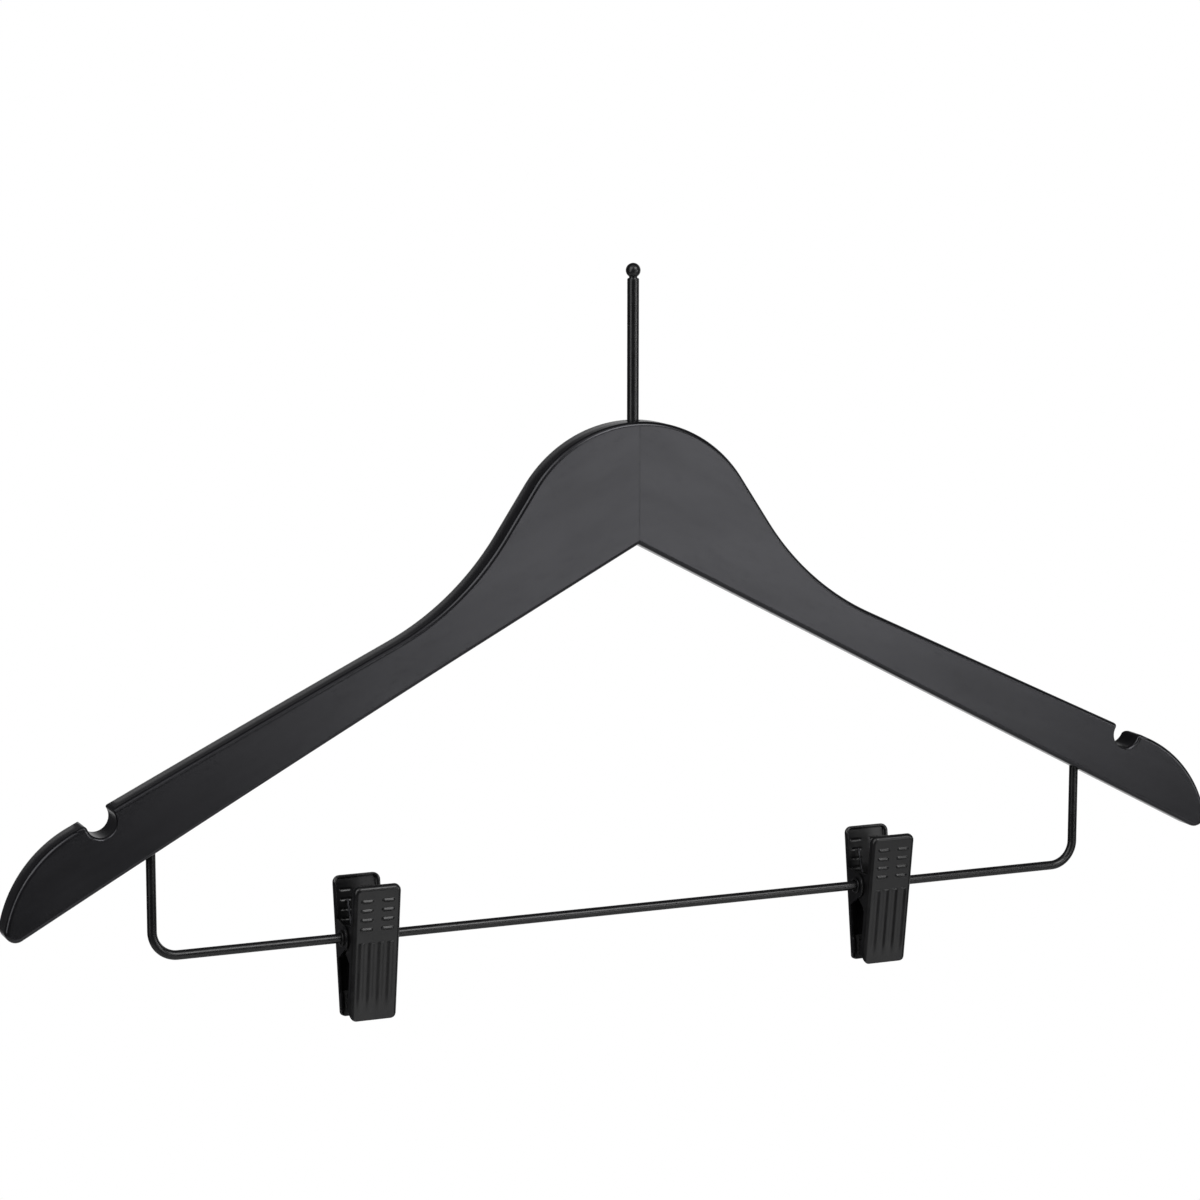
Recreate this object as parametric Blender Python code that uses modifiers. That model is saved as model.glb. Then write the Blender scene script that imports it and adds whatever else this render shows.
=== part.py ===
"""Wooden clip hanger with a ball-top pin, a fixed wire bar and two sliding spring clips.

Frame: metres, +Z up. The origin is the centre of the ball that the hanger hangs by, the pin
stands on the Z axis, the two arms reach out along X, and the front face looks along -Y.
Every solid is one real piece. Touching pieces keep the small gaps named below.
"""
import math

import bmesh
import bpy
from mathutils import Matrix, Vector

OBJECT_NAME = "wooden_clip_hanger"

# Gaps between pieces
SEAT_GAP = 0.0003
RUN_GAP = 0.00025
OVERRUN = 0.002

# Ball-top pin
BALL_RADIUS = 0.0025
PIN_RADIUS = 0.0020
PIN_NECK_RADIUS = 0.0014
PIN_NECK_LENGTH = 0.0005
PIN_CHAMFER = 0.0004
PIN_REACH = 0.0505
PIN_DEPTH = 0.0280
PIN_CORE_RADIUS = 0.0016
PIN_PLAIN_DEPTH = 0.0060
PIN_POINT_LENGTH = 0.0030
PIN_POINT_RADIUS = 0.0006
THREAD_PITCH = 0.0020

# Wooden body, seen from the front
HANGER_WIDTH = 0.445
WOOD_THICKNESS = 0.012
CROWN_HEIGHT = 0.0417
CROWN_RADIUS = 0.046
SHOULDER_RADIUS = 0.095
TIP_RADIUS = 0.042
TIP_CORNER_RADIUS = 0.0039
FLANK_LENGTH = 0.0192
FLANK_ANGLE = math.radians(56.5)
ARM_TOP_ANGLE = math.radians(25.2)
UNDERSIDE_ANGLE = math.radians(27.8)
FRONT_ROUNDING = 0.0015
BACK_ROUNDING = 0.0036

# Bow of the arms towards the front, which starts outside the flat crown
FLAT_HALF_WIDTH = 0.020
TIP_BOW = 0.0084

# Seam: a tongue on the left arm in a groove of the right one
TONGUE_THICKNESS = 0.0060
TONGUE_LENGTH = 0.0090

# Strap notches
NOTCH_RADIUS = 0.0050
NOTCH_SINK = 0.0019
NOTCH_LIP_RADIUS = 0.0014
NOTCH_LIP_ANGLE = math.radians(15)
NOTCH_FROM_TIP = 0.032
NOTCH_ROUNDING = 0.0010

# Wire bar
WIRE_RADIUS = 0.0016
BAR_HALF_SPAN = 0.172
BAR_DROP = 0.1261
BEND_RADIUS = 0.0085
LEG_HOLE_DEPTH = 0.0120

# Spring clips
CLIP_LEFT_X = -0.0983
CLIP_RIGHT_X = 0.0932
JAW_WIDTH = 0.0165
JAW_TOP = 0.0203
JAW_BOTTOM = 0.0271
JAW_TILT = math.radians(8.0)
JAW_CORNER_RADIUS = 0.0020
SHEET = 0.0008
FOLD_RADIUS = 0.0012
PIVOT_DEPTH = 0.0080
LEVER_FLANGE = 0.0024
LOWER_FLANGE = 0.0028
MOUTH_FLANGE = 0.0035
MOUTH_LENGTH = 0.0085
EAR_RADIUS = 0.0043
EAR_RISE = 0.0058
EAR_FALL = 0.0073
LIP_DEPTH = 0.0010

# Raised marks pressed out of each jaw
DASH_LENGTH = 0.0042
DASH_RADIUS = 0.00055
DASH_HEIGHT = 0.0004
DASH_SPREAD = 0.0037
DASH_FIRST = 0.0153
DASH_PITCH = 0.0033
RIB_RADIUS = 0.0007
RIB_HEIGHT = 0.0004
RIB_SPREAD = 0.0034
RIB_TOP = 0.0008
RIB_BOTTOM = 0.0245

# Pivot tube of each clip
TUBE_WALL = 0.00035
RIM_REACH = 0.0006
RIM_THICKNESS = 0.0004

# Torsion spring of each clip
SPRING_WIRE_RADIUS = 0.00045
SPRING_PITCH = 0.00145
SPRING_LEG_RISE = 0.0112

# Rubber grip pads
PAD_LENGTH = 0.0082
PAD_TOOTH = 0.0005
PAD_END_GAP = 0.0006

# Counts and smoothness
RINGS_OF_THREAD = 8
SPRING_TURNS = 5
DASH_ROWS = 4
RIBS = 4
PAD_TEETH = 4
MARK_STEPS = 2
MARK_SIDES = 8
ROUND_SIDES = 24
HOLE_SIDES = 32
BALL_STEPS = 12
CROWN_STEPS = 14
SHOULDER_STEPS = 10
TIP_STEPS = 12
TIP_CORNER_STEPS = 8
RIM_SEGMENTS = 4
FLARE_STEPS = 4
BEND_STEPS = 8
EAR_STEPS = 10
FOLD_STEPS = 4
CURL_POINTS = 10
WIRE_RESOLUTION = 4
SPRING_RESOLUTION = 1
BOW_STATIONS = 30
MERGE = 0.00001

# Finishes: colour, roughness, metallic
BLACK_LACQUER = ("black_lacquered_wood", (0.035, 0.034, 0.037), 0.42, 0.0)
BLACK_PAINT = ("black_painted_steel", (0.016, 0.016, 0.017), 0.33, 0.0)
BLACK_SPRING = ("black_spring_steel", (0.030, 0.030, 0.032), 0.30, 1.0)
BLACK_RUBBER = ("black_rubber", (0.012, 0.012, 0.012), 0.80, 0.0)

# Places that follow from the sizes above
CROWN_TOP_Z = -PIN_REACH
APEX_Z = CROWN_TOP_Z - CROWN_HEIGHT
BAR_Z = APEX_Z - BAR_DROP
HALF_WIDTH = HANGER_WIDTH / 2
HALF_THICKNESS = WOOD_THICKNESS / 2
JAW_SHIFT = (SHEET + SEAT_GAP) / 2
TUBE_INNER_RADIUS = WIRE_RADIUS + RUN_GAP
TUBE_OUTER_RADIUS = TUBE_INNER_RADIUS + TUBE_WALL
EAR_HOLE_RADIUS = TUBE_OUTER_RADIUS + RUN_GAP


def clear_scene():
    """Remove whatever the scene holds."""
    for old in list(bpy.data.objects):
        bpy.data.objects.remove(old, do_unlink=True)


def make_collection(name):
    """Add a collection to the scene."""
    collection = bpy.data.collections.new(name)
    bpy.context.scene.collection.children.link(collection)
    return collection


def make_material(name, colour, roughness, metallic):
    """Make a plain material for one piece."""
    material = bpy.data.materials.new(name)
    material.use_nodes = True
    shader = material.node_tree.nodes["Principled BSDF"]
    shader.inputs["Base Color"].default_value = (*colour, 1.0)
    shader.inputs["Roughness"].default_value = roughness
    shader.inputs["Metallic"].default_value = metallic
    return material


def add_object(name, data, collection):
    """Link new object data into a collection."""
    made = bpy.data.objects.new(name, data)
    collection.objects.link(made)
    return made


def finish(piece, finish_values):
    """Give a piece its own material and smooth round faces."""
    name, colour, roughness, metallic = finish_values
    piece.data.materials.clear()
    piece.data.materials.append(make_material(piece.name + "_" + name, colour, roughness, metallic))
    if piece.type == "MESH":
        piece.data.shade_smooth()
        piece.data.set_sharp_from_angle(angle=math.radians(35))
    return piece


def mesh_from_bmesh(name, shape):
    """Turn a bmesh into mesh data and free it."""
    mesh = bpy.data.meshes.new(name)
    shape.to_mesh(mesh)
    shape.free()
    return mesh


def evaluated_mesh(piece, name):
    """Take a piece's shape, modifiers and curve settings included, as welded mesh data."""
    bpy.context.view_layer.update()
    graph = bpy.context.evaluated_depsgraph_get()
    mesh = bpy.data.meshes.new_from_object(piece.evaluated_get(graph), depsgraph=graph)
    mesh.name = name
    shape = bmesh.new()
    shape.from_mesh(mesh)
    bmesh.ops.remove_doubles(shape, verts=shape.verts, dist=MERGE)
    bmesh.ops.recalc_face_normals(shape, faces=shape.faces)
    shape.to_mesh(mesh)
    shape.free()
    return mesh


def bake(piece, collection):
    """Replace a curve or a modified object by a plain mesh object in the same place."""
    name = piece.name
    place = piece.matrix_world.copy()
    mesh = evaluated_mesh(piece, name)
    bpy.data.objects.remove(piece, do_unlink=True)
    baked = add_object(name, mesh, collection)
    baked.matrix_world = place
    return baked


def outline_object(name, points, half_depth, collection):
    """Flat outline in the XY plane with a depth along Z, as a filled 2D curve."""
    curve = bpy.data.curves.new(name, "CURVE")
    curve.dimensions = "2D"
    curve.fill_mode = "BOTH"
    curve.extrude = half_depth
    spline = curve.splines.new("POLY")
    spline.points.add(len(points) - 1)
    for point, (x, y) in zip(spline.points, points):
        point.co = (x, y, 0.0, 1.0)
    spline.use_cyclic_u = True
    return bake(add_object(name, curve, collection), collection)


def tube_object(name, points, radius, resolution, collection):
    """Round wire along a path of points, with closed ends."""
    curve = bpy.data.curves.new(name, "CURVE")
    curve.dimensions = "3D"
    curve.bevel_depth = radius
    curve.bevel_resolution = resolution
    curve.use_fill_caps = True
    spline = curve.splines.new("POLY")
    spline.points.add(len(points) - 1)
    for point, place in zip(spline.points, points):
        point.co = (*place, 1.0)
    return add_object(name, curve, collection)


def turned_object(name, profile, sides, collection):
    """Turn a profile of (radius, height) points round the Z axis, outer side top to bottom."""
    shape = bmesh.new()
    verts = [shape.verts.new((radius, 0.0, height)) for radius, height in profile]
    for first, second in zip(verts, verts[1:]):
        shape.edges.new((first, second))
    if profile[0][0] > 0.0:
        shape.edges.new((verts[-1], verts[0]))
    turned = add_object(name, mesh_from_bmesh(name, shape), collection)
    screw = turned.modifiers.new("turn", "SCREW")
    screw.steps = sides
    screw.render_steps = sides
    screw.use_merge_vertices = True
    screw.merge_threshold = MERGE
    screw.use_smooth_shade = True
    return turned


def boolean(piece, cutter, operation):
    """Join a solid to a piece, cut it out, or keep what they share."""
    modifier = piece.modifiers.new(operation.lower(), "BOOLEAN")
    modifier.operation = operation
    modifier.solver = "EXACT"
    modifier.object = cutter


def cylinder_along(name, axis, radius, low, high, centre, sides, collection):
    """Cylinder from low to high along a world axis, through centre on the other two."""
    bpy.ops.mesh.primitive_cylinder_add(vertices=sides, radius=radius, depth=high - low)
    made = bpy.context.object
    made.name = name
    for holder in list(made.users_collection):
        holder.objects.unlink(made)
    collection.objects.link(made)
    turn = Matrix.Identity(4)
    if axis == "X":
        turn = Matrix.Rotation(math.pi / 2, 4, "Y")
    if axis == "Y":
        turn = Matrix.Rotation(-math.pi / 2, 4, "X")
    place = Vector(centre)
    place["XYZ".index(axis)] = (low + high) / 2
    made.data.transform(Matrix.Translation(place) @ turn)
    return made


def arc(centre, radius, start, end, steps):
    """Points of an arc; the angle is the heading below +X of a walk round it, from +Z."""
    points = []
    for step in range(steps + 1):
        heading = start + (end - start) * step / steps
        points.append(centre + radius * Vector((math.sin(heading), math.cos(heading))))
    return points


def along(heading):
    """Direction of a walk that heads down from +X by an angle."""
    return Vector((math.cos(heading), -math.sin(heading)))


def outward(heading):
    """Direction to the left of that walk, out of the wood on the top edge."""
    return Vector((math.sin(heading), math.cos(heading)))


def slide_to_distance(start, direction, target, distance):
    """First point along a line at a given distance from a target, short of it."""
    back = start - target
    half = back.dot(direction)
    inside = half * half - back.dot(back) + distance * distance
    return start + direction * (-half - math.sqrt(inside))


def bow(x):
    """How far the arms have bowed to the front at x."""
    outside = max(abs(x) - FLAT_HALF_WIDTH, 0.0)
    share = outside / (HALF_WIDTH - FLAT_HALF_WIDTH)
    return -TIP_BOW * share * share


def arm_top_start():
    """Where the straight top of the arm begins."""
    crown_end = Vector((0.0, CROWN_TOP_Z - CROWN_RADIUS)) + CROWN_RADIUS * outward(FLANK_ANGLE)
    flank_end = crown_end + FLANK_LENGTH * along(FLANK_ANGLE)
    centre = flank_end + SHOULDER_RADIUS * outward(FLANK_ANGLE)
    return centre - SHOULDER_RADIUS * outward(ARM_TOP_ANGLE)


def body_outline():
    """Right half of the wooden body from the crown to the tip and back to the apex."""
    points = arc(Vector((0.0, CROWN_TOP_Z - CROWN_RADIUS)), CROWN_RADIUS, 0.0, FLANK_ANGLE,
                 CROWN_STEPS)
    flank_end = points[-1] + FLANK_LENGTH * along(FLANK_ANGLE)
    shoulder = flank_end + SHOULDER_RADIUS * outward(FLANK_ANGLE)
    for point in arc(shoulder, -SHOULDER_RADIUS, FLANK_ANGLE, ARM_TOP_ANGLE, SHOULDER_STEPS):
        points.append(point)
    corner_x = HALF_WIDTH - TIP_CORNER_RADIUS
    corner_z = APEX_Z - corner_x * math.tan(UNDERSIDE_ANGLE)
    corner_z = corner_z + TIP_CORNER_RADIUS / math.cos(UNDERSIDE_ANGLE)
    corner = Vector((corner_x, corner_z))
    offset_line = arm_top_start() - TIP_RADIUS * outward(ARM_TOP_ANGLE)
    tip = slide_to_distance(offset_line, along(ARM_TOP_ANGLE), corner, TIP_RADIUS - TIP_CORNER_RADIUS)
    to_corner = corner - tip
    meeting = math.atan2(to_corner.x, to_corner.y)
    points = points + arc(tip, TIP_RADIUS, ARM_TOP_ANGLE, meeting, TIP_STEPS)
    points = points + arc(corner, TIP_CORNER_RADIUS, meeting, math.pi + UNDERSIDE_ANGLE,
                          TIP_CORNER_STEPS)[1:]
    points.append(Vector((0.0, APEX_Z)))
    return points


def notch_centre():
    """Centre of the right strap notch, under the straight top of the arm."""
    start = arm_top_start()
    run = (HALF_WIDTH - NOTCH_FROM_TIP - start.x) / math.cos(ARM_TOP_ANGLE)
    return start + run * along(ARM_TOP_ANGLE) - NOTCH_SINK * outward(ARM_TOP_ANGLE)


def stand_up(piece):
    """Turn a piece drawn in XY so that its drawing lies in XZ, its depth along Y."""
    piece.data.transform(piece.matrix_world)
    piece.matrix_world = Matrix.Identity(4)
    piece.data.transform(Matrix.Rotation(math.pi / 2, 4, "X"))


def round_rims(piece):
    """Round the front and the back rim of the flat wooden blank."""
    shape = bmesh.new()
    shape.from_mesh(piece.data)
    for side, rounding in ((-1.0, FRONT_ROUNDING), (1.0, BACK_ROUNDING)):
        flat = [face for face in shape.faces if side * face.normal.y > 0.9]
        bmesh.ops.dissolve_faces(shape, faces=flat)
        rims = [edge for edge in shape.edges
                if any(side * face.normal.y > 0.9 for face in edge.link_faces)]
        bmesh.ops.bevel(shape, geom=rims, offset=rounding, offset_type="OFFSET",
                        segments=RIM_SEGMENTS, profile=0.5, affect="EDGES", material=-1, clamp_overlap=False)
    shape.to_mesh(piece.data)
    shape.free()


def bow_to_front(piece):
    """Cut stations across the blank and bow it towards the front."""
    shape = bmesh.new()
    shape.from_mesh(piece.data)
    for station in range(-BOW_STATIONS // 2, BOW_STATIONS // 2 + 1):
        x = HANGER_WIDTH * station / BOW_STATIONS
        if abs(x) < FLAT_HALF_WIDTH:
            continue
        geometry = shape.verts[:] + shape.edges[:] + shape.faces[:]
        bmesh.ops.bisect_plane(shape, geom=geometry, dist=MERGE / 10,
                               plane_co=(x, 0.0, 0.0), plane_no=(1.0, 0.0, 0.0))
    for vert in shape.verts:
        vert.co.y += bow(vert.co.x)
    bmesh.ops.triangulate(shape, faces=shape.faces)
    shape.to_mesh(piece.data)
    shape.free()


def seam_cutter(name, gap, reach, collection):
    """Block that takes away one side of the seam, stepped round the tongue."""
    half_tongue = TONGUE_THICKNESS / 2 + gap
    tip = TONGUE_LENGTH + gap
    wide = HALF_THICKNESS + TIP_BOW + OVERRUN
    points = [(gap, -wide), (gap, -half_tongue), (tip, -half_tongue), (tip, half_tongue),
              (gap, half_tongue), (gap, wide), (reach, wide), (reach, -wide)]
    height = CROWN_HEIGHT + HANGER_WIDTH
    cutter = outline_object(name, points, height, collection)
    cutter.location.z = APEX_Z
    return cutter


def make_arms(pieces, cutters):
    """Two bowed arms that meet in a tongue and groove at the seam."""
    right = body_outline()
    left = [Vector((-point.x, point.y)) for point in reversed(right[1:-1])]
    blank = outline_object("wood_blank", right + left, HALF_THICKNESS, cutters)
    stand_up(blank)
    round_rims(blank)
    bow_to_front(blank)
    reach = HANGER_WIDTH
    outer_side = seam_cutter("seam_cutter_left_arm", -SEAT_GAP / 2, reach, cutters)
    inner_side = seam_cutter("seam_cutter_right_arm", SEAT_GAP / 2, -reach, cutters)
    bore_radius = PIN_RADIUS + SEAT_GAP
    bore_foot = CROWN_TOP_Z - PIN_DEPTH - SEAT_GAP
    bore = cylinder_along("pin_bore", "Z", bore_radius, bore_foot, CROWN_TOP_Z + OVERRUN,
                          (0.0, 0.0, 0.0), ROUND_SIDES, cutters)
    notch = notch_centre()
    leg_top = leg_top_z() + SEAT_GAP
    for name, sign, seam in (("left_arm", -1.0, outer_side), ("right_arm", 1.0, inner_side)):
        arm = add_object(name, blank.data.copy(), pieces)
        boolean(arm, seam, "DIFFERENCE")
        boolean(arm, bore, "DIFFERENCE")
        place = Vector((sign * notch.x, bow(notch.x), notch.y))
        boolean(arm, notch_cutter("notch_of_" + name, place, cutters), "DIFFERENCE")
        mouth = outline_object("notch_mouth_of_" + name, notch_mouth(), WOOD_THICKNESS, cutters)
        stand_up(mouth)
        mouth.location = place
        mouth.rotation_euler.y = sign * ARM_TOP_ANGLE
        boolean(arm, mouth, "DIFFERENCE")
        hole = cylinder_along("leg_hole_of_" + name, "Z", WIRE_RADIUS + SEAT_GAP,
                              leg_top - LEG_HOLE_DEPTH - OVERRUN * 2, leg_top,
                              (sign * BAR_HALF_SPAN, bow(BAR_HALF_SPAN), 0.0), ROUND_SIDES, cutters)
        boolean(arm, hole, "DIFFERENCE")
        finish(arm, BLACK_LACQUER)


def notch_cutter(name, place, collection):
    """Round cutter that flares at both faces, so the edges of the notch are rounded over."""
    flare = NOTCH_RADIUS + NOTCH_ROUNDING
    face = HALF_THICKNESS
    profile = [(0.0, face + OVERRUN), (flare, face + OVERRUN)]
    for step in range(FLARE_STEPS + 1):
        angle = math.pi / 2 * step / FLARE_STEPS
        radius = flare - NOTCH_ROUNDING * math.sin(angle)
        profile.append((radius, face - NOTCH_ROUNDING * (1.0 - math.cos(angle))))
    back = [(radius, -height) for radius, height in reversed(profile)]
    cutter = turned_object(name, profile + back, HOLE_SIDES, collection)
    baked = bake(cutter, collection)
    stand_up(baked)
    baked.location = place
    return baked


def notch_mouth():
    """Outline of the notch's mouth between two round lips, seen from the notch's centre."""
    rise = NOTCH_SINK - NOTCH_LIP_RADIUS
    reach = NOTCH_RADIUS + NOTCH_LIP_RADIUS
    side = math.sqrt(reach * reach - rise * rise)
    lip = arc(Vector((side, rise)), NOTCH_LIP_RADIUS, -NOTCH_LIP_ANGLE, -math.atan2(side, -rise),
              FLARE_STEPS)
    points = [lip[0] + OVERRUN * along(-NOTCH_LIP_ANGLE)] + lip
    return points + [Vector((-point.x, point.y)) for point in reversed(points)]


def leg_top_z():
    """Height of the wire legs' ends, inside the arms."""
    return APEX_Z - BAR_HALF_SPAN * math.tan(UNDERSIDE_ANGLE) + LEG_HOLE_DEPTH


def make_pin(pieces):
    """One turned pin: ball, neck, shank, and a screwed root inside the crown."""
    neck_angle = math.asin(PIN_NECK_RADIUS / BALL_RADIUS)
    profile = []
    for step in range(BALL_STEPS + 1):
        angle = (math.pi - neck_angle) * step / BALL_STEPS
        profile.append((BALL_RADIUS * math.sin(angle), BALL_RADIUS * math.cos(angle)))
    shank_top = profile[-1][1] - PIN_NECK_LENGTH
    profile.append((PIN_NECK_RADIUS, shank_top))
    profile.append((PIN_RADIUS, shank_top - PIN_CHAMFER))
    height = CROWN_TOP_Z - PIN_PLAIN_DEPTH
    profile.append((PIN_RADIUS, height))
    for _ring in range(RINGS_OF_THREAD):
        profile.append((PIN_CORE_RADIUS, height - THREAD_PITCH / 4))
        profile.append((PIN_CORE_RADIUS, height - THREAD_PITCH / 2))
        profile.append((PIN_RADIUS, height - THREAD_PITCH))
        height = height - THREAD_PITCH
    profile.append((PIN_CORE_RADIUS, height - THREAD_PITCH / 4))
    foot = CROWN_TOP_Z - PIN_DEPTH
    profile.append((PIN_CORE_RADIUS, foot + PIN_POINT_LENGTH))
    profile.append((PIN_POINT_RADIUS, foot))
    profile.append((0.0, foot))
    finish(turned_object("ball_pin", profile, ROUND_SIDES, pieces), BLACK_PAINT)


def make_bar(pieces):
    """Wire bar: two legs in the arms, two bends and the straight rail of the clips."""
    y = bow(BAR_HALF_SPAN)
    right = [Vector((BAR_HALF_SPAN, y, leg_top_z()))]
    centre_x = BAR_HALF_SPAN - BEND_RADIUS
    for step in range(BEND_STEPS + 1):
        angle = math.pi / 2 * step / BEND_STEPS
        right.append(Vector((centre_x + BEND_RADIUS * math.cos(angle), y,
                             BAR_Z + BEND_RADIUS - BEND_RADIUS * math.sin(angle))))
    left = [Vector((-point.x, point.y, point.z)) for point in reversed(right)]
    bar = tube_object("clip_bar", right + left, WIRE_RADIUS, WIRE_RESOLUTION, pieces)
    finish(bar, BLACK_PAINT)


def tangent_point(point, centre, radius, side):
    """Where a line from a point touches a circle, on the chosen side."""
    gap = centre - point
    turn = math.acos(radius / gap.length)
    heading = math.atan2(-gap.y, -gap.x) + side * turn
    return centre + radius * Vector((math.cos(heading), math.sin(heading)))


def flange_outline():
    """Side view of a jaw as (depth behind the face, height along it), ear included."""
    pivot = Vector((PIVOT_DEPTH, 0.0))
    upper = Vector((LEVER_FLANGE, EAR_RISE))
    lower = Vector((LOWER_FLANGE, -EAR_FALL))
    first = tangent_point(upper, pivot, EAR_RADIUS, -1.0) - pivot
    last = tangent_point(lower, pivot, EAR_RADIUS, 1.0) - pivot
    start = math.atan2(first.y, first.x)
    end = math.atan2(last.y, last.x)
    points = [Vector((-OVERRUN, JAW_TOP)), Vector((LEVER_FLANGE, JAW_TOP)), upper]
    for step in range(EAR_STEPS + 1):
        angle = start + (end - start) * step / EAR_STEPS
        points.append(pivot + EAR_RADIUS * Vector((math.cos(angle), math.sin(angle))))
    step_top = -JAW_BOTTOM + MOUTH_LENGTH
    flare = MOUTH_FLANGE - LOWER_FLANGE
    points = points + [lower, Vector((LOWER_FLANGE, step_top)), Vector((MOUTH_FLANGE, step_top - flare)),
                       Vector((MOUTH_FLANGE, -JAW_BOTTOM)), Vector((-OVERRUN, -JAW_BOTTOM))]
    return points


def jaw_channel(collection):
    """Folded sheet: a face with two deep flanges, before its outline is cut."""
    half = JAW_WIDTH / 2
    depth = PIVOT_DEPTH + EAR_RADIUS + OVERRUN
    corner = Vector((half - FOLD_RADIUS, FOLD_RADIUS))
    side = [Vector((half, depth))]
    for step in range(FOLD_STEPS + 1):
        angle = math.pi / 2 * step / FOLD_STEPS
        side.append(corner + FOLD_RADIUS * Vector((math.cos(angle), -math.sin(angle))))
    profile = side + [Vector((-point.x, point.y)) for point in reversed(side)]
    shape = bmesh.new()
    top = JAW_TOP + OVERRUN
    verts = [shape.verts.new((point.x, point.y, top)) for point in profile]
    edges = [shape.edges.new(pair) for pair in zip(verts, verts[1:])]
    drawn = bmesh.ops.extrude_edge_only(shape, edges=edges)
    moved = [item for item in drawn["geom"] if isinstance(item, bmesh.types.BMVert)]
    bmesh.ops.translate(shape, verts=moved, vec=(0.0, 0.0, -top - JAW_BOTTOM - OVERRUN))
    bmesh.ops.recalc_face_normals(shape, faces=shape.faces)
    face = max(shape.faces, key=lambda item: item.calc_area())
    if face.normal.y > 0.0:
        bmesh.ops.reverse_faces(shape, faces=shape.faces)
    channel = add_object("jaw_channel", mesh_from_bmesh("jaw_channel", shape), collection)
    wall = channel.modifiers.new("sheet", "SOLIDIFY")
    wall.thickness = SHEET
    wall.offset = -1.0
    wall.use_even_offset = True
    return bake(channel, collection)


def rounded_rectangle(half_width, low, high, radius, steps):
    """Outline of a rectangle with round corners."""
    points = []
    corners = ((half_width - radius, high - radius, 0.0), (-half_width + radius, high - radius, 0.5),
               (-half_width + radius, low + radius, 1.0), (half_width - radius, low + radius, 1.5))
    for x, y, turn in corners:
        for step in range(steps + 1):
            angle = math.pi * (turn + 0.5 * step / steps)
            points.append((x + radius * math.cos(angle), y + radius * math.sin(angle)))
    return points


def side_prism(name, outline, half_width, collection):
    """Prism across the jaw from an outline of (depth, height) points."""
    prism = outline_object(name, [(point[0], point[1]) for point in outline], half_width, collection)
    turn = Matrix(((0.0, 0.0, 1.0, 0.0), (1.0, 0.0, 0.0, 0.0), (0.0, 1.0, 0.0, 0.0), (0.0, 0.0, 0.0, 1.0)))
    prism.data.transform(turn)
    return prism


def press_mark(axis, radius, low, high, x, depth, cutters):
    """Rod with round ends, from low to high along X or Z, with its axis at a depth behind the face."""
    profile = []
    for end, start in ((high - radius, 0.0), (low + radius, math.pi / 2)):
        for step in range(MARK_STEPS + 1):
            angle = start + math.pi / 2 * step / MARK_STEPS
            profile.append((radius * math.sin(angle), end + radius * math.cos(angle)))
    profile[0] = (0.0, high)
    profile[-1] = (0.0, low)
    rod = bake(turned_object("press_mark", profile, MARK_SIDES, cutters), cutters)
    if axis == "X":
        rod.data.transform(Matrix.Rotation(math.pi / 2, 4, "Y"))
    rod.location = (x, depth, 0.0)
    return rod


def press_marks(depth_of, cutters):
    """Dashes for the fingers and ribs down the mouth half; depth_of gives each rod's depth."""
    marks = []
    for row in range(DASH_ROWS):
        for side in (-1.0, 1.0):
            dash = press_mark("X", DASH_RADIUS, -DASH_LENGTH / 2, DASH_LENGTH / 2,
                              side * DASH_SPREAD, depth_of(DASH_RADIUS, DASH_HEIGHT), cutters)
            dash.location.z = DASH_FIRST - row * DASH_PITCH
            marks.append(dash)
    for rib in range(RIBS):
        x = (rib - (RIBS - 1) / 2) * RIB_SPREAD
        marks.append(press_mark("Z", RIB_RADIUS, -RIB_BOTTOM, RIB_TOP, x,
                                depth_of(RIB_RADIUS, RIB_HEIGHT), cutters))
    return marks


def raised_depth(radius, height):
    """Depth of a rod that stands out of the face by a height."""
    return radius - height


def sunk_depth(radius, height):
    """Depth of a rod that reaches into the back of the sheet by a height."""
    return SHEET + radius - height


def jaw_mesh(cutters):
    """One stamping, used four times. Its face looks along -Y and its pivot is the X axis."""
    jaw = jaw_channel(cutters)
    jaw.name = "jaw_stamping"
    reach = JAW_WIDTH / 2 + OVERRUN
    boolean(jaw, side_prism("jaw_side", flange_outline(), reach, cutters), "INTERSECT")
    front = outline_object("jaw_front", rounded_rectangle(
        JAW_WIDTH / 2 + MERGE, -JAW_BOTTOM, JAW_TOP, JAW_CORNER_RADIUS, FOLD_STEPS),
        PIVOT_DEPTH * 2 + EAR_RADIUS, cutters)
    stand_up(front)
    boolean(jaw, front, "INTERSECT")
    hole = cylinder_along("ear_holes", "X", EAR_HOLE_RADIUS, -reach, reach,
                          (0.0, PIVOT_DEPTH, 0.0), HOLE_SIDES, cutters)
    boolean(jaw, hole, "DIFFERENCE")
    half_lip = JAW_WIDTH / 2 - JAW_CORNER_RADIUS
    lip_points = [(SHEET / 2, JAW_TOP - SHEET), (SHEET + LIP_DEPTH, JAW_TOP - SHEET),
                  (SHEET + LIP_DEPTH, JAW_TOP - SHEET / 8), (SHEET / 2, JAW_TOP - SHEET / 8)]
    boolean(jaw, side_prism("jaw_lip", lip_points, half_lip, cutters), "UNION")
    for mark in press_marks(raised_depth, cutters):
        boolean(jaw, mark, "UNION")
    for mark in press_marks(sunk_depth, cutters):
        boolean(jaw, mark, "DIFFERENCE")
    mesh = evaluated_mesh(jaw, "jaw_stamping")
    mesh.transform(Matrix.Translation((0.0, -PIVOT_DEPTH, 0.0)))
    return mesh


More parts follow.
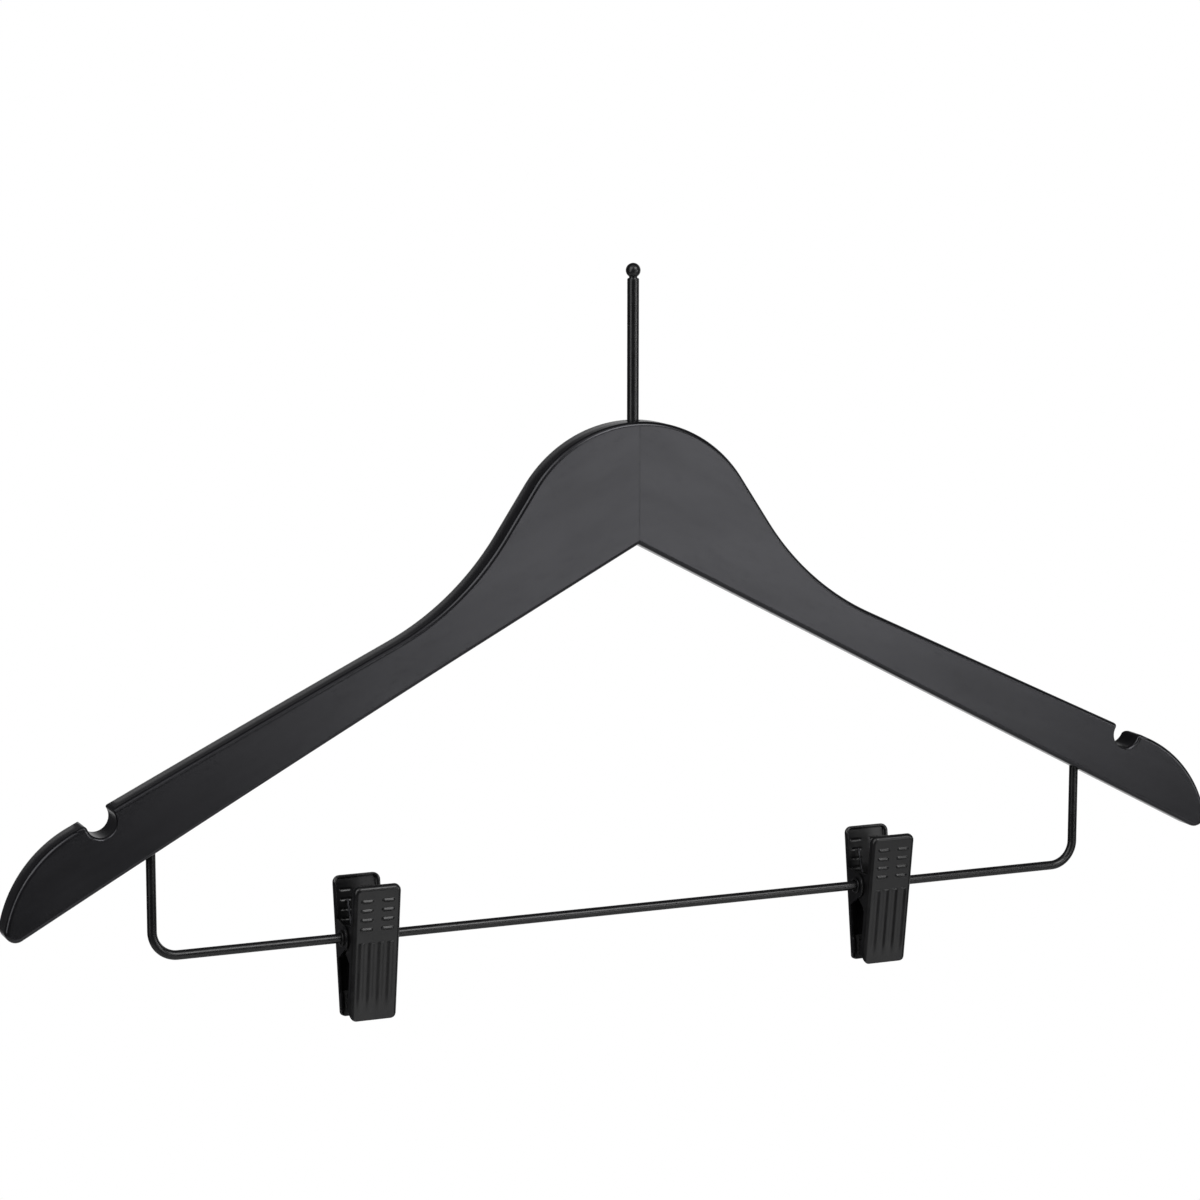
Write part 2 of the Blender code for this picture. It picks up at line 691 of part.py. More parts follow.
def pad_mesh(cutters):
    """Rubber wedge that fills a jaw's mouth up to the middle plane, with cross teeth."""
    inner = SHEET + SEAT_GAP
    low = -JAW_BOTTOM + PAD_END_GAP
    slope = math.tan(JAW_TILT)
    points = [Vector((inner, low)), Vector((inner, low + PAD_LENGTH))]
    pitch = PAD_LENGTH / (2 * PAD_TEETH)
    for step in range(2 * PAD_TEETH + 1):
        height = low + PAD_LENGTH - step * pitch
        depth = PIVOT_DEPTH + height * slope - SEAT_GAP / 2
        sunk = PAD_TOOTH if step % 2 == 0 else 0.0
        points.append(Vector((depth - sunk, height)))
    half = JAW_WIDTH / 2 - SHEET - FOLD_RADIUS / 2
    pad = side_prism("pad_block", points, half, cutters)
    pad.data.transform(Matrix.Translation((0.0, -PIVOT_DEPTH, 0.0)))
    return pad.data


def spring_path():
    """Torsion spring round the pivot: two legs under the levers and close turns between."""
    coil = TUBE_OUTER_RADIUS + RUN_GAP + SPRING_WIRE_RADIUS
    half = SPRING_PITCH * (SPRING_TURNS + 0.5) / 2
    lever_y = PIVOT_DEPTH * math.cos(JAW_TILT) + SPRING_LEG_RISE * math.sin(JAW_TILT)
    leg_y = lever_y - (SHEET + SEAT_GAP + SPRING_WIRE_RADIUS) / math.cos(JAW_TILT)
    points = [Vector((-half, leg_y, SPRING_LEG_RISE)),
              Vector((-half, (leg_y + coil) / 2, SPRING_LEG_RISE / 2))]
    steps = int(CURL_POINTS * (SPRING_TURNS + 0.5))
    for step in range(steps + 1):
        angle = 2 * math.pi * step / CURL_POINTS
        x = -half + SPRING_PITCH * step / CURL_POINTS
        points.append(Vector((x, coil * math.cos(angle), -coil * math.sin(angle))))
    points.append(Vector((half, -(leg_y + coil) / 2, SPRING_LEG_RISE / 2)))
    points.append(Vector((half, -leg_y, SPRING_LEG_RISE)))
    return points


def least_gap(points, radius, skip):
    """Least distance between the skins of two far parts of one wire."""
    least = math.inf
    for index, point in enumerate(points):
        for other in points[index + skip:]:
            least = min(least, (point - other).length - 2 * radius)
    return least


def make_clip(side, centre_x, jaw, pad, pieces, cutters):
    """One spring clip on the bar: tube, two like jaws turned to face each other, pads, spring."""
    place = Vector((centre_x, bow(BAR_HALF_SPAN), BAR_Z))
    pivot = bpy.data.objects.new(side + "_clip_pivot", None)
    pieces.objects.link(pivot)
    pivot.location = place
    outside = JAW_WIDTH / 2 + JAW_SHIFT + RUN_GAP
    rim = outside + RIM_THICKNESS
    rim_radius = TUBE_OUTER_RADIUS + RIM_REACH
    profile = [(TUBE_INNER_RADIUS, rim), (rim_radius, rim), (rim_radius, outside),
               (TUBE_OUTER_RADIUS, outside), (TUBE_OUTER_RADIUS, -outside), (rim_radius, -outside),
               (rim_radius, -rim), (TUBE_INNER_RADIUS, -rim)]
    tube = turned_object(side + "_pivot_tube", profile, ROUND_SIDES, pieces)
    tube.parent = pivot
    tube.rotation_euler.y = math.pi / 2
    finish(tube, BLACK_PAINT)
    for which, turn, shift in (("front", 0.0, JAW_SHIFT), ("rear", math.pi, -JAW_SHIFT)):
        name = side + "_" + which
        shell = add_object(name + "_jaw", jaw.copy(), pieces)
        block = add_object(name + "_pad", pad.copy(), pieces)
        for item, values in ((shell, BLACK_PAINT), (block, BLACK_RUBBER)):
            item.parent = pivot
            item.location.x = shift
            item.rotation_euler = (JAW_TILT, 0.0, turn)
            finish(item, values)
    path = spring_path()
    print(side, "spring: least gap to itself, mm", round(least_gap(
        path, SPRING_WIRE_RADIUS, CURL_POINTS - 2) * 1000, 3))
    spring = tube_object(side + "_spring", path, SPRING_WIRE_RADIUS, SPRING_RESOLUTION, pieces)
    spring.parent = pivot
    finish(spring, BLACK_SPRING)


def main():
    clear_scene()
    pieces = make_collection(OBJECT_NAME)
    cutters = make_collection("cutters")
    make_arms(pieces, cutters)
    make_pin(pieces)
    make_bar(pieces)
    jaw = jaw_mesh(cutters)
    pad = pad_mesh(cutters)
    make_clip("left", CLIP_LEFT_X, jaw, pad, pieces, cutters)
    make_clip("right", CLIP_RIGHT_X, jaw, pad, pieces, cutters)
    for guide in cutters.objects:
        guide.hide_render = True
        guide.display_type = "WIRE"


main()
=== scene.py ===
"""Looks of the wooden clip hanger: lacquered arms, pin, wire bar and two spring clips.

Metres, +Z up, the front face looks along -Y. The origin is the centre of the ball on the pin.
"""
import math

import bmesh
import bpy
from mathutils import Matrix, Vector


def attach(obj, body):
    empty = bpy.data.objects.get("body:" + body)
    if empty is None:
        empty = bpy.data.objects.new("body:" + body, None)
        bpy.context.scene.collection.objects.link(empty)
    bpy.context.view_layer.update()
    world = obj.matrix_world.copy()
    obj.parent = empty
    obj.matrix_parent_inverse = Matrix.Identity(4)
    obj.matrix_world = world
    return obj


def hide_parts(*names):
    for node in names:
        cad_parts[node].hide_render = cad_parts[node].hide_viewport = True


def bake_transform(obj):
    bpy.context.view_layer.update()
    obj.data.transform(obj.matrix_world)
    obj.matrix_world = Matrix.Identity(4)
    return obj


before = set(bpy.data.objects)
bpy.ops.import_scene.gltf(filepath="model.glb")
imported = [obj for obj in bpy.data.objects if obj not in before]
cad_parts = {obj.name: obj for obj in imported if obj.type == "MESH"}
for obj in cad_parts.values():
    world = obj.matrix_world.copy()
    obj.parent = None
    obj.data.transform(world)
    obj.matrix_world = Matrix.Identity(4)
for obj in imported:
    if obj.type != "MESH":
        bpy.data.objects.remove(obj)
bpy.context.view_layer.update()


# Wooden arms
# Two halves of a close-grained board, sawn to one outline, rounded at the rims, bowed to the
# front and glued at the seam. A satin black lacquer covers them and lets the pores be felt.
BOARD_WIDTH = 0.445
BOARD_THICKNESS = 0.012
CROWN_TOP = -0.0505
APEX = -0.0922
CROWN_RADIUS = 0.046
SHOULDER_RADIUS = 0.095
TIP_RADIUS = 0.042
TIP_CORNER_RADIUS = 0.0039
FLANK_LENGTH = 0.0192
FLANK_ANGLE = math.radians(56.5)
ARM_ANGLE = math.radians(25.2)
UNDERSIDE_ANGLE = math.radians(27.8)
FRONT_ROUNDING = 0.0015
BACK_ROUNDING = 0.0036
FLAT_HALF_WIDTH = 0.020
TIP_BOW = 0.0084
SEAM = 0.00009
SEAM_DEPTH = 0.0008
STATION_PITCH = 0.0035
NOTCH_RADIUS = 0.0050
NOTCH_SINK = 0.0019
NOTCH_LIP_RADIUS = 0.0014
NOTCH_LIP_ANGLE = math.radians(15)
NOTCH_FROM_TIP = 0.032
NOTCH_EASING = 0.0011
TOOL_OVERRUN = 0.002
BORE_RADIUS = 0.00212
BORE_EASING = 0.0004
BORE_FOOT = -0.0786
CROWN_STEPS = 30
SHOULDER_STEPS = 26
TIP_STEPS = 34
CORNER_STEPS = 12
LIP_STEPS = 8
NOTCH_STEPS = 36
EASING_STEPS = 6
ROUND_STEPS = 48
RIM_SEGMENTS = 7
WELD = 0.000001
ARM_EDGE_ANGLE = math.radians(38)
WALL_CROWN_START = -0.0025
WALL_CROWN_RADIUS = 0.0227
WALL_CROWN_FADE = 0.010
NOISE_DETAIL = 3.0
LACQUER_DEEP = (0.0048, 0.0048, 0.0054)
LACQUER_LIGHT = (0.0082, 0.0082, 0.0092)
LACQUER_TINT = (0.94, 0.94, 1.0, 1.0)
LACQUER_ROUGHNESS = (0.235, 0.265)
PORE_STRETCH = (170.0, 1900.0, 2600.0)
PORE_SPREAD = (0.60, 0.74)
PORE_DEPTH = 0.00003
PORE_STRENGTH = 0.22
BAND_STRETCH = (40.0, 300.0, 420.0)
BAND_SPREAD = (0.34, 0.68)
CLOUD_STRETCH = (26.0, 70.0, 90.0)
CLOUD_SPREAD = (0.30, 0.70)


def along(heading):
    """Direction of a walk that drops below +X by an angle."""
    return Vector((math.cos(heading), 0.0, -math.sin(heading)))


def outward(heading):
    """Direction out of the wood on the upper side of that walk."""
    return Vector((math.sin(heading), 0.0, math.cos(heading)))


def bow(x):
    """How far the board has bowed along Y at x."""
    outside = max(abs(x) - FLAT_HALF_WIDTH, 0.0)
    share = outside / (BOARD_WIDTH / 2 - FLAT_HALF_WIDTH)
    return -TIP_BOW * share * share


def draw_line(shape, corner, step):
    """Draw on from the last corner of an outline by one straight step."""
    added = bmesh.ops.extrude_vert_indiv(shape, verts=[corner])["verts"][0]
    added.co = corner.co + step
    return added


def draw_arc(shape, corner, centre, angle, steps):
    """Draw on round a centre, clockwise seen from the front for a positive angle."""
    drawn = bmesh.ops.spin(shape, geom=[corner], cent=centre, axis=(0.0, 1.0, 0.0),
                           angle=angle, steps=steps, use_merge=False)
    return next(item for item in drawn["geom_last"] if isinstance(item, bmesh.types.BMVert))


def thicken(shape, reach):
    """Turn a closed outline into a slab from -reach to reach along Y."""
    bmesh.ops.translate(shape, verts=shape.verts, vec=(0.0, -reach, 0.0))
    front = shape.edges[:]
    walls = bmesh.ops.extrude_edge_only(shape, edges=front)["geom"]
    moved = [item for item in walls if isinstance(item, bmesh.types.BMVert)]
    bmesh.ops.translate(shape, verts=moved, vec=(0.0, 2 * reach, 0.0))
    back = [edge for edge in shape.edges if all(vert.co.y > 0.0 for vert in edge.verts)]
    bmesh.ops.contextual_create(shape, geom=front)
    bmesh.ops.contextual_create(shape, geom=back)
    bmesh.ops.recalc_face_normals(shape, faces=shape.faces)


def link_piece(name, shape):
    """Make a scene object from a finished shape, at the origin."""
    mesh = bpy.data.meshes.new(name)
    shape.to_mesh(mesh)
    shape.free()
    piece = bpy.data.objects.new(name, mesh)
    bpy.context.scene.collection.objects.link(piece)
    return piece


def cut_with(piece, tools):
    """Cut tools out of a piece and throw the tools away."""
    for tool in tools:
        cut = piece.modifiers.new("cut", "BOOLEAN")
        cut.operation = "DIFFERENCE"
        cut.solver = "EXACT"
        cut.object = tool
    settle(piece)
    for tool in tools:
        bpy.data.objects.remove(tool, do_unlink=True)


def settle(piece):
    """Make the modifiers of a piece part of its mesh."""
    bpy.context.view_layer.update()
    graph = bpy.context.evaluated_depsgraph_get()
    settled = bpy.data.meshes.new_from_object(piece.evaluated_get(graph), depsgraph=graph)
    piece.modifiers.clear()
    piece.data = settled


def finish_surface(piece, material, angle):
    """Smooth the round faces, keep the edges past an angle, and paint the piece."""
    piece.data.shade_smooth()
    piece.data.set_sharp_from_angle(angle=angle)
    piece.data.materials.clear()
    piece.data.materials.append(material)
    weighted = piece.modifiers.new("flat faces lead", "WEIGHTED_NORMAL")
    weighted.keep_sharp = True


def variation_group():
    """Node group: a noise mask between 0 and 1, stretched by a vector of scales."""
    group = bpy.data.node_groups.new("fine_variation", "ShaderNodeTree")
    face = group.interface
    face.new_socket("Vector", in_out="INPUT", socket_type="NodeSocketVector")
    face.new_socket("Stretch", in_out="INPUT", socket_type="NodeSocketVector")
    face.new_socket("From", in_out="INPUT", socket_type="NodeSocketFloat")
    face.new_socket("To", in_out="INPUT", socket_type="NodeSocketFloat")
    face.new_socket("Mask", in_out="OUTPUT", socket_type="NodeSocketFloat")
    start = group.nodes.new("NodeGroupInput")
    end = group.nodes.new("NodeGroupOutput")
    stretch = group.nodes.new("ShaderNodeVectorMath")
    stretch.operation = "MULTIPLY"
    noise = group.nodes.new("ShaderNodeTexNoise")
    noise.inputs["Scale"].default_value = 1.0
    noise.inputs["Detail"].default_value = NOISE_DETAIL
    spread = group.nodes.new("ShaderNodeMapRange")
    spread.interpolation_type = "SMOOTHSTEP"
    group.links.new(start.outputs["Vector"], stretch.inputs[0])
    group.links.new(start.outputs["Stretch"], stretch.inputs[1])
    group.links.new(stretch.outputs["Vector"], noise.inputs["Vector"])
    group.links.new(noise.outputs["Fac"], spread.inputs["Value"])
    group.links.new(start.outputs["From"], spread.inputs["From Min"])
    group.links.new(start.outputs["To"], spread.inputs["From Max"])
    group.links.new(spread.outputs["Result"], end.inputs["Mask"])
    return group


fine_variation = variation_group()


def vary(material, vector, stretch, spread):
    """Place the variation group in a material and return its mask."""
    node = material.node_tree.nodes.new("ShaderNodeGroup")
    node.node_tree = fine_variation
    node.inputs["Stretch"].default_value = stretch
    node.inputs["From"].default_value = spread[0]
    node.inputs["To"].default_value = spread[1]
    material.node_tree.links.new(vector, node.inputs["Vector"])
    return node.outputs["Mask"]


def span(material, mask, limits):
    """Spread a mask over a range of values."""
    node = material.node_tree.nodes.new("ShaderNodeMapRange")
    node.inputs["To Min"].default_value = limits[0]
    node.inputs["To Max"].default_value = limits[1]
    material.node_tree.links.new(mask, node.inputs["Value"])
    return node.outputs["Result"]


def between(material, mask, first, second):
    """Mix two colours by a mask."""
    node = material.node_tree.nodes.new("ShaderNodeMix")
    node.data_type = "RGBA"
    node.inputs["A"].default_value = (*first, 1.0)
    node.inputs["B"].default_value = (*second, 1.0)
    material.node_tree.links.new(mask, node.inputs["Factor"])
    return node.outputs["Result"]


def dent(material, mask, depth, strength, invert):
    """Turn a mask into a bump that feeds the shader's normal."""
    node = material.node_tree.nodes.new("ShaderNodeBump")
    node.inputs["Distance"].default_value = depth
    node.inputs["Strength"].default_value = strength
    node.invert = invert
    material.node_tree.links.new(mask, node.inputs["Height"])
    return node.outputs["Normal"]


def value_math(tree, operation, first, second):
    """One sum in a node tree, each side a socket or a number."""
    node = tree.nodes.new("ShaderNodeMath")
    node.operation = operation
    for socket, value in zip(node.inputs, (first, second)):
        if isinstance(value, float):
            socket.default_value = value
        else:
            tree.links.new(value, socket)
    return node.outputs["Value"]


def crowned_walls_group():
    """Node group: normal of the slight crown that sanding leaves on the back of the walls."""
    group = bpy.data.node_groups.new("crowned_walls", "ShaderNodeTree")
    group.interface.new_socket("Vector", in_out="INPUT", socket_type="NodeSocketVector")
    group.interface.new_socket("Facing", in_out="INPUT", socket_type="NodeSocketVector")
    group.interface.new_socket("Normal", in_out="OUTPUT", socket_type="NodeSocketVector")
    start = group.nodes.new("NodeGroupInput")
    end = group.nodes.new("NodeGroupOutput")
    parts = group.nodes.new("ShaderNodeSeparateXYZ")
    group.links.new(start.outputs["Vector"], parts.inputs["Vector"])
    aside = value_math(group, "ABSOLUTE", parts.outputs["X"], 0.0)
    outside = value_math(group, "SUBTRACT", aside, FLAT_HALF_WIDTH)
    outside = value_math(group, "MAXIMUM", outside, 0.0)
    squared = value_math(group, "MULTIPLY", outside, outside)
    bow_rate = TIP_BOW / (BOARD_WIDTH / 2 - FLAT_HALF_WIDTH) ** 2
    bowed = value_math(group, "MULTIPLY", squared, bow_rate)
    depth = value_math(group, "ADD", parts.outputs["Y"], bowed)
    past = value_math(group, "SUBTRACT", depth, WALL_CROWN_START)
    past = value_math(group, "MAXIMUM", past, 0.0)
    slope = value_math(group, "DIVIDE", past, WALL_CROWN_RADIUS)
    off_centre = value_math(group, "SUBTRACT", aside, BOARD_WIDTH / 2 - NOTCH_FROM_TIP)
    off_centre = value_math(group, "ABSOLUTE", off_centre, 0.0)
    from_notch = value_math(group, "SUBTRACT", off_centre, NOTCH_RADIUS + NOTCH_LIP_RADIUS)
    clear = value_math(group, "DIVIDE", from_notch, NOTCH_LIP_RADIUS)
    from_tip = value_math(group, "SUBTRACT", BOARD_WIDTH / 2, aside)
    fading = value_math(group, "DIVIDE", from_tip, WALL_CROWN_FADE)
    for gate in (clear, fading):
        gate.node.use_clamp = True
        slope = value_math(group, "MULTIPLY", slope, gate)
    lean = group.nodes.new("ShaderNodeCombineXYZ")
    group.links.new(slope, lean.inputs["Y"])
    summed = group.nodes.new("ShaderNodeVectorMath")
    summed.operation = "ADD"
    group.links.new(start.outputs["Facing"], summed.inputs[0])
    group.links.new(lean.outputs["Vector"], summed.inputs[1])
    turned_out = group.nodes.new("ShaderNodeVectorTransform")
    turned_out.vector_type = "NORMAL"
    turned_out.convert_from = "OBJECT"
    turned_out.convert_to = "WORLD"
    group.links.new(summed.outputs["Vector"], turned_out.inputs["Vector"])
    group.links.new(turned_out.outputs["Vector"], end.inputs["Normal"])
    return group


crowned_walls = crowned_walls_group()


def lacquered_wood(name, lean):
    """Satin black lacquer over grain that runs along an arm."""
    material = bpy.data.materials.new(name)
    material.use_nodes = True
    nodes = material.node_tree.nodes
    links = material.node_tree.links
    shader = nodes["Principled BSDF"]
    shader.inputs["Specular Tint"].default_value = LACQUER_TINT
    coords = nodes.new("ShaderNodeTexCoord")
    turn = nodes.new("ShaderNodeMapping")
    turn.inputs["Rotation"].default_value = (0.0, lean, 0.0)
    links.new(coords.outputs["Object"], turn.inputs["Vector"])
    grain = turn.outputs["Vector"]
    pores = vary(material, grain, PORE_STRETCH, PORE_SPREAD)
    bands = vary(material, grain, BAND_STRETCH, BAND_SPREAD)
    clouds = vary(material, grain, CLOUD_STRETCH, CLOUD_SPREAD)
    links.new(between(material, bands, LACQUER_DEEP, LACQUER_LIGHT), shader.inputs["Base Color"])
    links.new(span(material, clouds, LACQUER_ROUGHNESS), shader.inputs["Roughness"])
    crown = nodes.new("ShaderNodeGroup")
    crown.node_tree = crowned_walls
    links.new(coords.outputs["Object"], crown.inputs["Vector"])
    links.new(coords.outputs["Normal"], crown.inputs["Facing"])
    pitted = dent(material, pores, PORE_DEPTH, PORE_STRENGTH, invert=True)
    links.new(crown.outputs["Normal"], pitted.node.inputs["Normal"])
    links.new(pitted, shader.inputs["Normal"])
    return material


board = bmesh.new()
corner = bmesh.ops.create_vert(board, co=(0.0, 0.0, CROWN_TOP))["vert"][0]
corner = draw_arc(board, corner, (0.0, 0.0, CROWN_TOP - CROWN_RADIUS), FLANK_ANGLE, CROWN_STEPS)
corner = draw_line(board, corner, FLANK_LENGTH * along(FLANK_ANGLE))
shoulder_centre = corner.co + SHOULDER_RADIUS * outward(FLANK_ANGLE)
corner = draw_arc(board, corner, shoulder_centre, ARM_ANGLE - FLANK_ANGLE, SHOULDER_STEPS)
arm_start = corner.co.copy()
end_x = BOARD_WIDTH / 2 - TIP_CORNER_RADIUS
end_z = APEX - end_x * math.tan(UNDERSIDE_ANGLE) + TIP_CORNER_RADIUS / math.cos(UNDERSIDE_ANGLE)
end_centre = Vector((end_x, 0.0, end_z))
back = arm_start - TIP_RADIUS * outward(ARM_ANGLE) - end_centre
half_run = back.dot(along(ARM_ANGLE))
reach = TIP_RADIUS - TIP_CORNER_RADIUS
arm_run = -half_run - math.sqrt(half_run * half_run - back.dot(back) + reach * reach)
corner = draw_line(board, corner, arm_run * along(ARM_ANGLE))
tip_centre = corner.co - TIP_RADIUS * outward(ARM_ANGLE)
to_end = end_centre - tip_centre
meeting = math.atan2(to_end.x, to_end.z)
corner = draw_arc(board, corner, tip_centre, meeting - ARM_ANGLE, TIP_STEPS)
corner = draw_arc(board, corner, end_centre, math.pi + UNDERSIDE_ANGLE - meeting, CORNER_STEPS)
corner = draw_line(board, corner, Vector((0.0, 0.0, APEX)) - corner.co)
bmesh.ops.mirror(board, geom=board.verts[:] + board.edges[:], merge_dist=WELD, axis="X")
bmesh.ops.remove_doubles(board, verts=board.verts, dist=WELD)
thicken(board, BOARD_THICKNESS / 2)
for side, rounding in ((-1.0, FRONT_ROUNDING), (1.0, BACK_ROUNDING)):
    rims = [edge for edge in board.edges
            if all(side * vert.co.y > BOARD_THICKNESS / 2 - WELD for vert in edge.verts)]
    bmesh.ops.bevel(board, geom=rims, offset=rounding, offset_type="OFFSET",
                    segments=RIM_SEGMENTS, profile=0.5, affect="EDGES", material=-1,
                    clamp_overlap=False)
stations = int(BOARD_WIDTH / STATION_PITCH)
for station in range(1, stations):
    x = (station / stations - 0.5) * BOARD_WIDTH
    if abs(x) > STATION_PITCH:
        bmesh.ops.bisect_plane(board, geom=board.verts[:] + board.edges[:] + board.faces[:],
                               dist=WELD, plane_co=(x, 0.0, 0.0), plane_no=(1.0, 0.0, 0.0))
for vert in board.verts:
    vert.co.y += bow(vert.co.x)


def notch_tool(side):
    """Tool that cuts one strap notch with round lips and eased edges at both faces."""
    rise = NOTCH_SINK - NOTCH_LIP_RADIUS
    between_centres = NOTCH_RADIUS + NOTCH_LIP_RADIUS
    spread = math.sqrt(between_centres * between_centres - rise * rise)
    lip_turn = NOTCH_LIP_ANGLE - math.atan2(spread, -rise)
    half_mouth = math.atan2(spread, rise)
    shape = bmesh.new()
    start = Vector((spread, 0.0, rise)) + NOTCH_LIP_RADIUS * outward(-NOTCH_LIP_ANGLE)
    overrun = TOOL_OVERRUN * along(-NOTCH_LIP_ANGLE)
    first = bmesh.ops.create_vert(shape, co=start + overrun)["vert"][0]
    last = draw_line(shape, first, -overrun)
    last = draw_arc(shape, last, (spread, 0.0, rise), lip_turn, LIP_STEPS)
    last = draw_arc(shape, last, (0.0, 0.0, 0.0), 2 * math.pi - 2 * half_mouth, NOTCH_STEPS)
    last = draw_arc(shape, last, (-spread, 0.0, rise), lip_turn, LIP_STEPS)
    last = draw_line(shape, last, -TOOL_OVERRUN * along(NOTCH_LIP_ANGLE))
    shape.edges.new((last, first))
    straight = BOARD_THICKNESS / 2 - NOTCH_EASING
    thicken(shape, straight)
    for end in (-1.0, 1.0):
        cap = max(shape.faces, key=lambda face: end * face.normal.y * face.calc_area())
        for step in range(EASING_STEPS):
            low = math.pi / 2 * step / EASING_STEPS
            high = math.pi / 2 * (step + 1) / EASING_STEPS
            bmesh.ops.inset_region(shape, faces=[cap], use_boundary=True, use_even_offset=True,
                                   thickness=-NOTCH_EASING * (math.cos(low) - math.cos(high)),
                                   depth=NOTCH_EASING * (math.sin(high) - math.sin(low)))
        bmesh.ops.inset_region(shape, faces=[cap], use_boundary=True, thickness=0.0,
                               depth=TOOL_OVERRUN)
    run = (BOARD_WIDTH / 2 - NOTCH_FROM_TIP - arm_start.x) / math.cos(ARM_ANGLE)
    place = arm_start + run * along(ARM_ANGLE) - NOTCH_SINK * outward(ARM_ANGLE)
    place = Vector((side * place.x, bow(place.x), place.z))
    lean = Matrix.Rotation(side * ARM_ANGLE, 4, "Y")
    bmesh.ops.transform(shape, verts=shape.verts, matrix=Matrix.Translation(place) @ lean)
    return link_piece("notch_tool", shape)


def turned(profile, steps):
    """Turn a profile of (radius, height) points round the Z axis into a closed shape."""
    shape = bmesh.new()
    verts = []
    for radius, height in profile:
        verts.append(bmesh.ops.create_vert(shape, co=(radius, 0.0, height))["vert"][0])
    edges = [shape.edges.new(pair) for pair in zip(verts, verts[1:])]
    if profile[0][0] > 0.0 and profile[-1][0] > 0.0:
        edges.append(shape.edges.new((verts[-1], verts[0])))
    bmesh.ops.spin(shape, geom=verts + edges, cent=(0.0, 0.0, 0.0), axis=(0.0, 0.0, 1.0),
                   angle=2 * math.pi, steps=steps, use_merge=True)
    bmesh.ops.remove_doubles(shape, verts=shape.verts, dist=WELD)
    bmesh.ops.recalc_face_normals(shape, faces=shape.faces)
    return shape


def bore_tool():
    """Tool that drills the hole of the pin down into the crown and eases its mouth."""
    mouth = BORE_RADIUS + BORE_EASING
    return link_piece("bore_tool", turned([
        (0.0, CROWN_TOP + TOOL_OVERRUN), (mouth + TOOL_OVERRUN, CROWN_TOP + TOOL_OVERRUN),
        (mouth, CROWN_TOP), (BORE_RADIUS, CROWN_TOP - BORE_EASING * 2),
        (BORE_RADIUS, BORE_FOOT), (0.0, BORE_FOOT)], ROUND_STEPS))


for side, name in ((-1.0, "left_arm"), (1.0, "right_arm")):
    half = board.copy()
    bmesh.ops.bisect_plane(half, geom=half.verts[:] + half.edges[:] + half.faces[:], dist=WELD,
                           plane_co=(side * SEAM / 2, 0.0, 0.0), plane_no=(side, 0.0, 0.0),
                           clear_inner=True)
    seam_rim = [edge for edge in half.edges if edge.is_boundary]
    seam_face = bmesh.ops.contextual_create(half, geom=seam_rim)["faces"]
    bmesh.ops.recalc_face_normals(half, faces=half.faces)
    bmesh.ops.inset_region(half, faces=seam_face, use_boundary=True, use_even_offset=True,
                           thickness=SEAM_DEPTH, depth=SEAM / 2)
    arm = link_piece(name + "_lacquered", half)
    cut_with(arm, [notch_tool(side), bore_tool()])
    lacquer = lacquered_wood("black_lacquer_on_" + name, side * -ARM_ANGLE)
    finish_surface(arm, lacquer, ARM_EDGE_ANGLE)
    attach(arm, "hanger_body")
    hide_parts(name)
board.free()


# Ball-top pin
# One turned steel pin with a ball in place of a hook and a short neck under it. It is screwed
# into the crown and painted satin black, so it shows soft bright streaks down its sides.
BALL_RADIUS = 0.0025
PIN_RADIUS = 0.0020
NECK_RADIUS = 0.0014
NECK_LENGTH = 0.0005
PIN_EASING = 0.0004
PIN_FOOT = -0.0785
BALL_STEPS = 24
PIN_EDGE_ANGLE = math.radians(40)
STEEL_BLACK = (0.0058, 0.0058, 0.0062)
STEEL_GREY = (0.0085, 0.0085, 0.0090)
PIN_ROUGHNESS = (0.25, 0.31)
PEEL_STRETCH = (1500.0, 1500.0, 1500.0)
PEEL_SPREAD = (0.30, 0.70)
PEEL_DEPTH = 0.000004
PEEL_STRENGTH = 0.12
PATCH_STRETCH = (160.0, 160.0, 160.0)
PATCH_SPREAD = (0.35, 0.65)


def painted_steel(name, roughness):
    """Black paint with a fine orange peel, between two roughnesses."""
    material = bpy.data.materials.new(name)
    material.use_nodes = True
    nodes = material.node_tree.nodes
    links = material.node_tree.links
    shader = nodes["Principled BSDF"]
    coords = nodes.new("ShaderNodeTexCoord")
    peel = vary(material, coords.outputs["Object"], PEEL_STRETCH, PEEL_SPREAD)
    patches = vary(material, coords.outputs["Object"], PATCH_STRETCH, PATCH_SPREAD)
    dimpled = dent(material, peel, PEEL_DEPTH, PEEL_STRENGTH, invert=False)
    links.new(between(material, patches, STEEL_BLACK, STEEL_GREY), shader.inputs["Base Color"])
    links.new(span(material, patches, roughness), shader.inputs["Roughness"])
    links.new(dimpled, shader.inputs["Normal"])
    return material


satin_black = painted_steel("satin_black_on_pin_and_bar", PIN_ROUGHNESS)
neck_angle = math.asin(NECK_RADIUS / BALL_RADIUS)
pin_profile = []
for step in range(BALL_STEPS + 1):
    angle = (math.pi - neck_angle) * step / BALL_STEPS
    pin_profile.append((BALL_RADIUS * math.sin(angle), BALL_RADIUS * math.cos(angle)))
neck_foot = pin_profile[-1][1] - NECK_LENGTH
pin_profile.append((NECK_RADIUS, neck_foot))
pin_profile.append((PIN_RADIUS - PIN_EASING / 2, neck_foot - PIN_EASING / 8))
pin_profile.append((PIN_RADIUS, neck_foot - PIN_EASING))
pin_profile.append((PIN_RADIUS, PIN_FOOT))
pin_profile.append((0.0, PIN_FOOT))
pin = link_piece("ball_pin_painted", turned(pin_profile, ROUND_STEPS))
finish_surface(pin, satin_black, PIN_EDGE_ANGLE)
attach(pin, "hanger_body")
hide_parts("ball_pin")


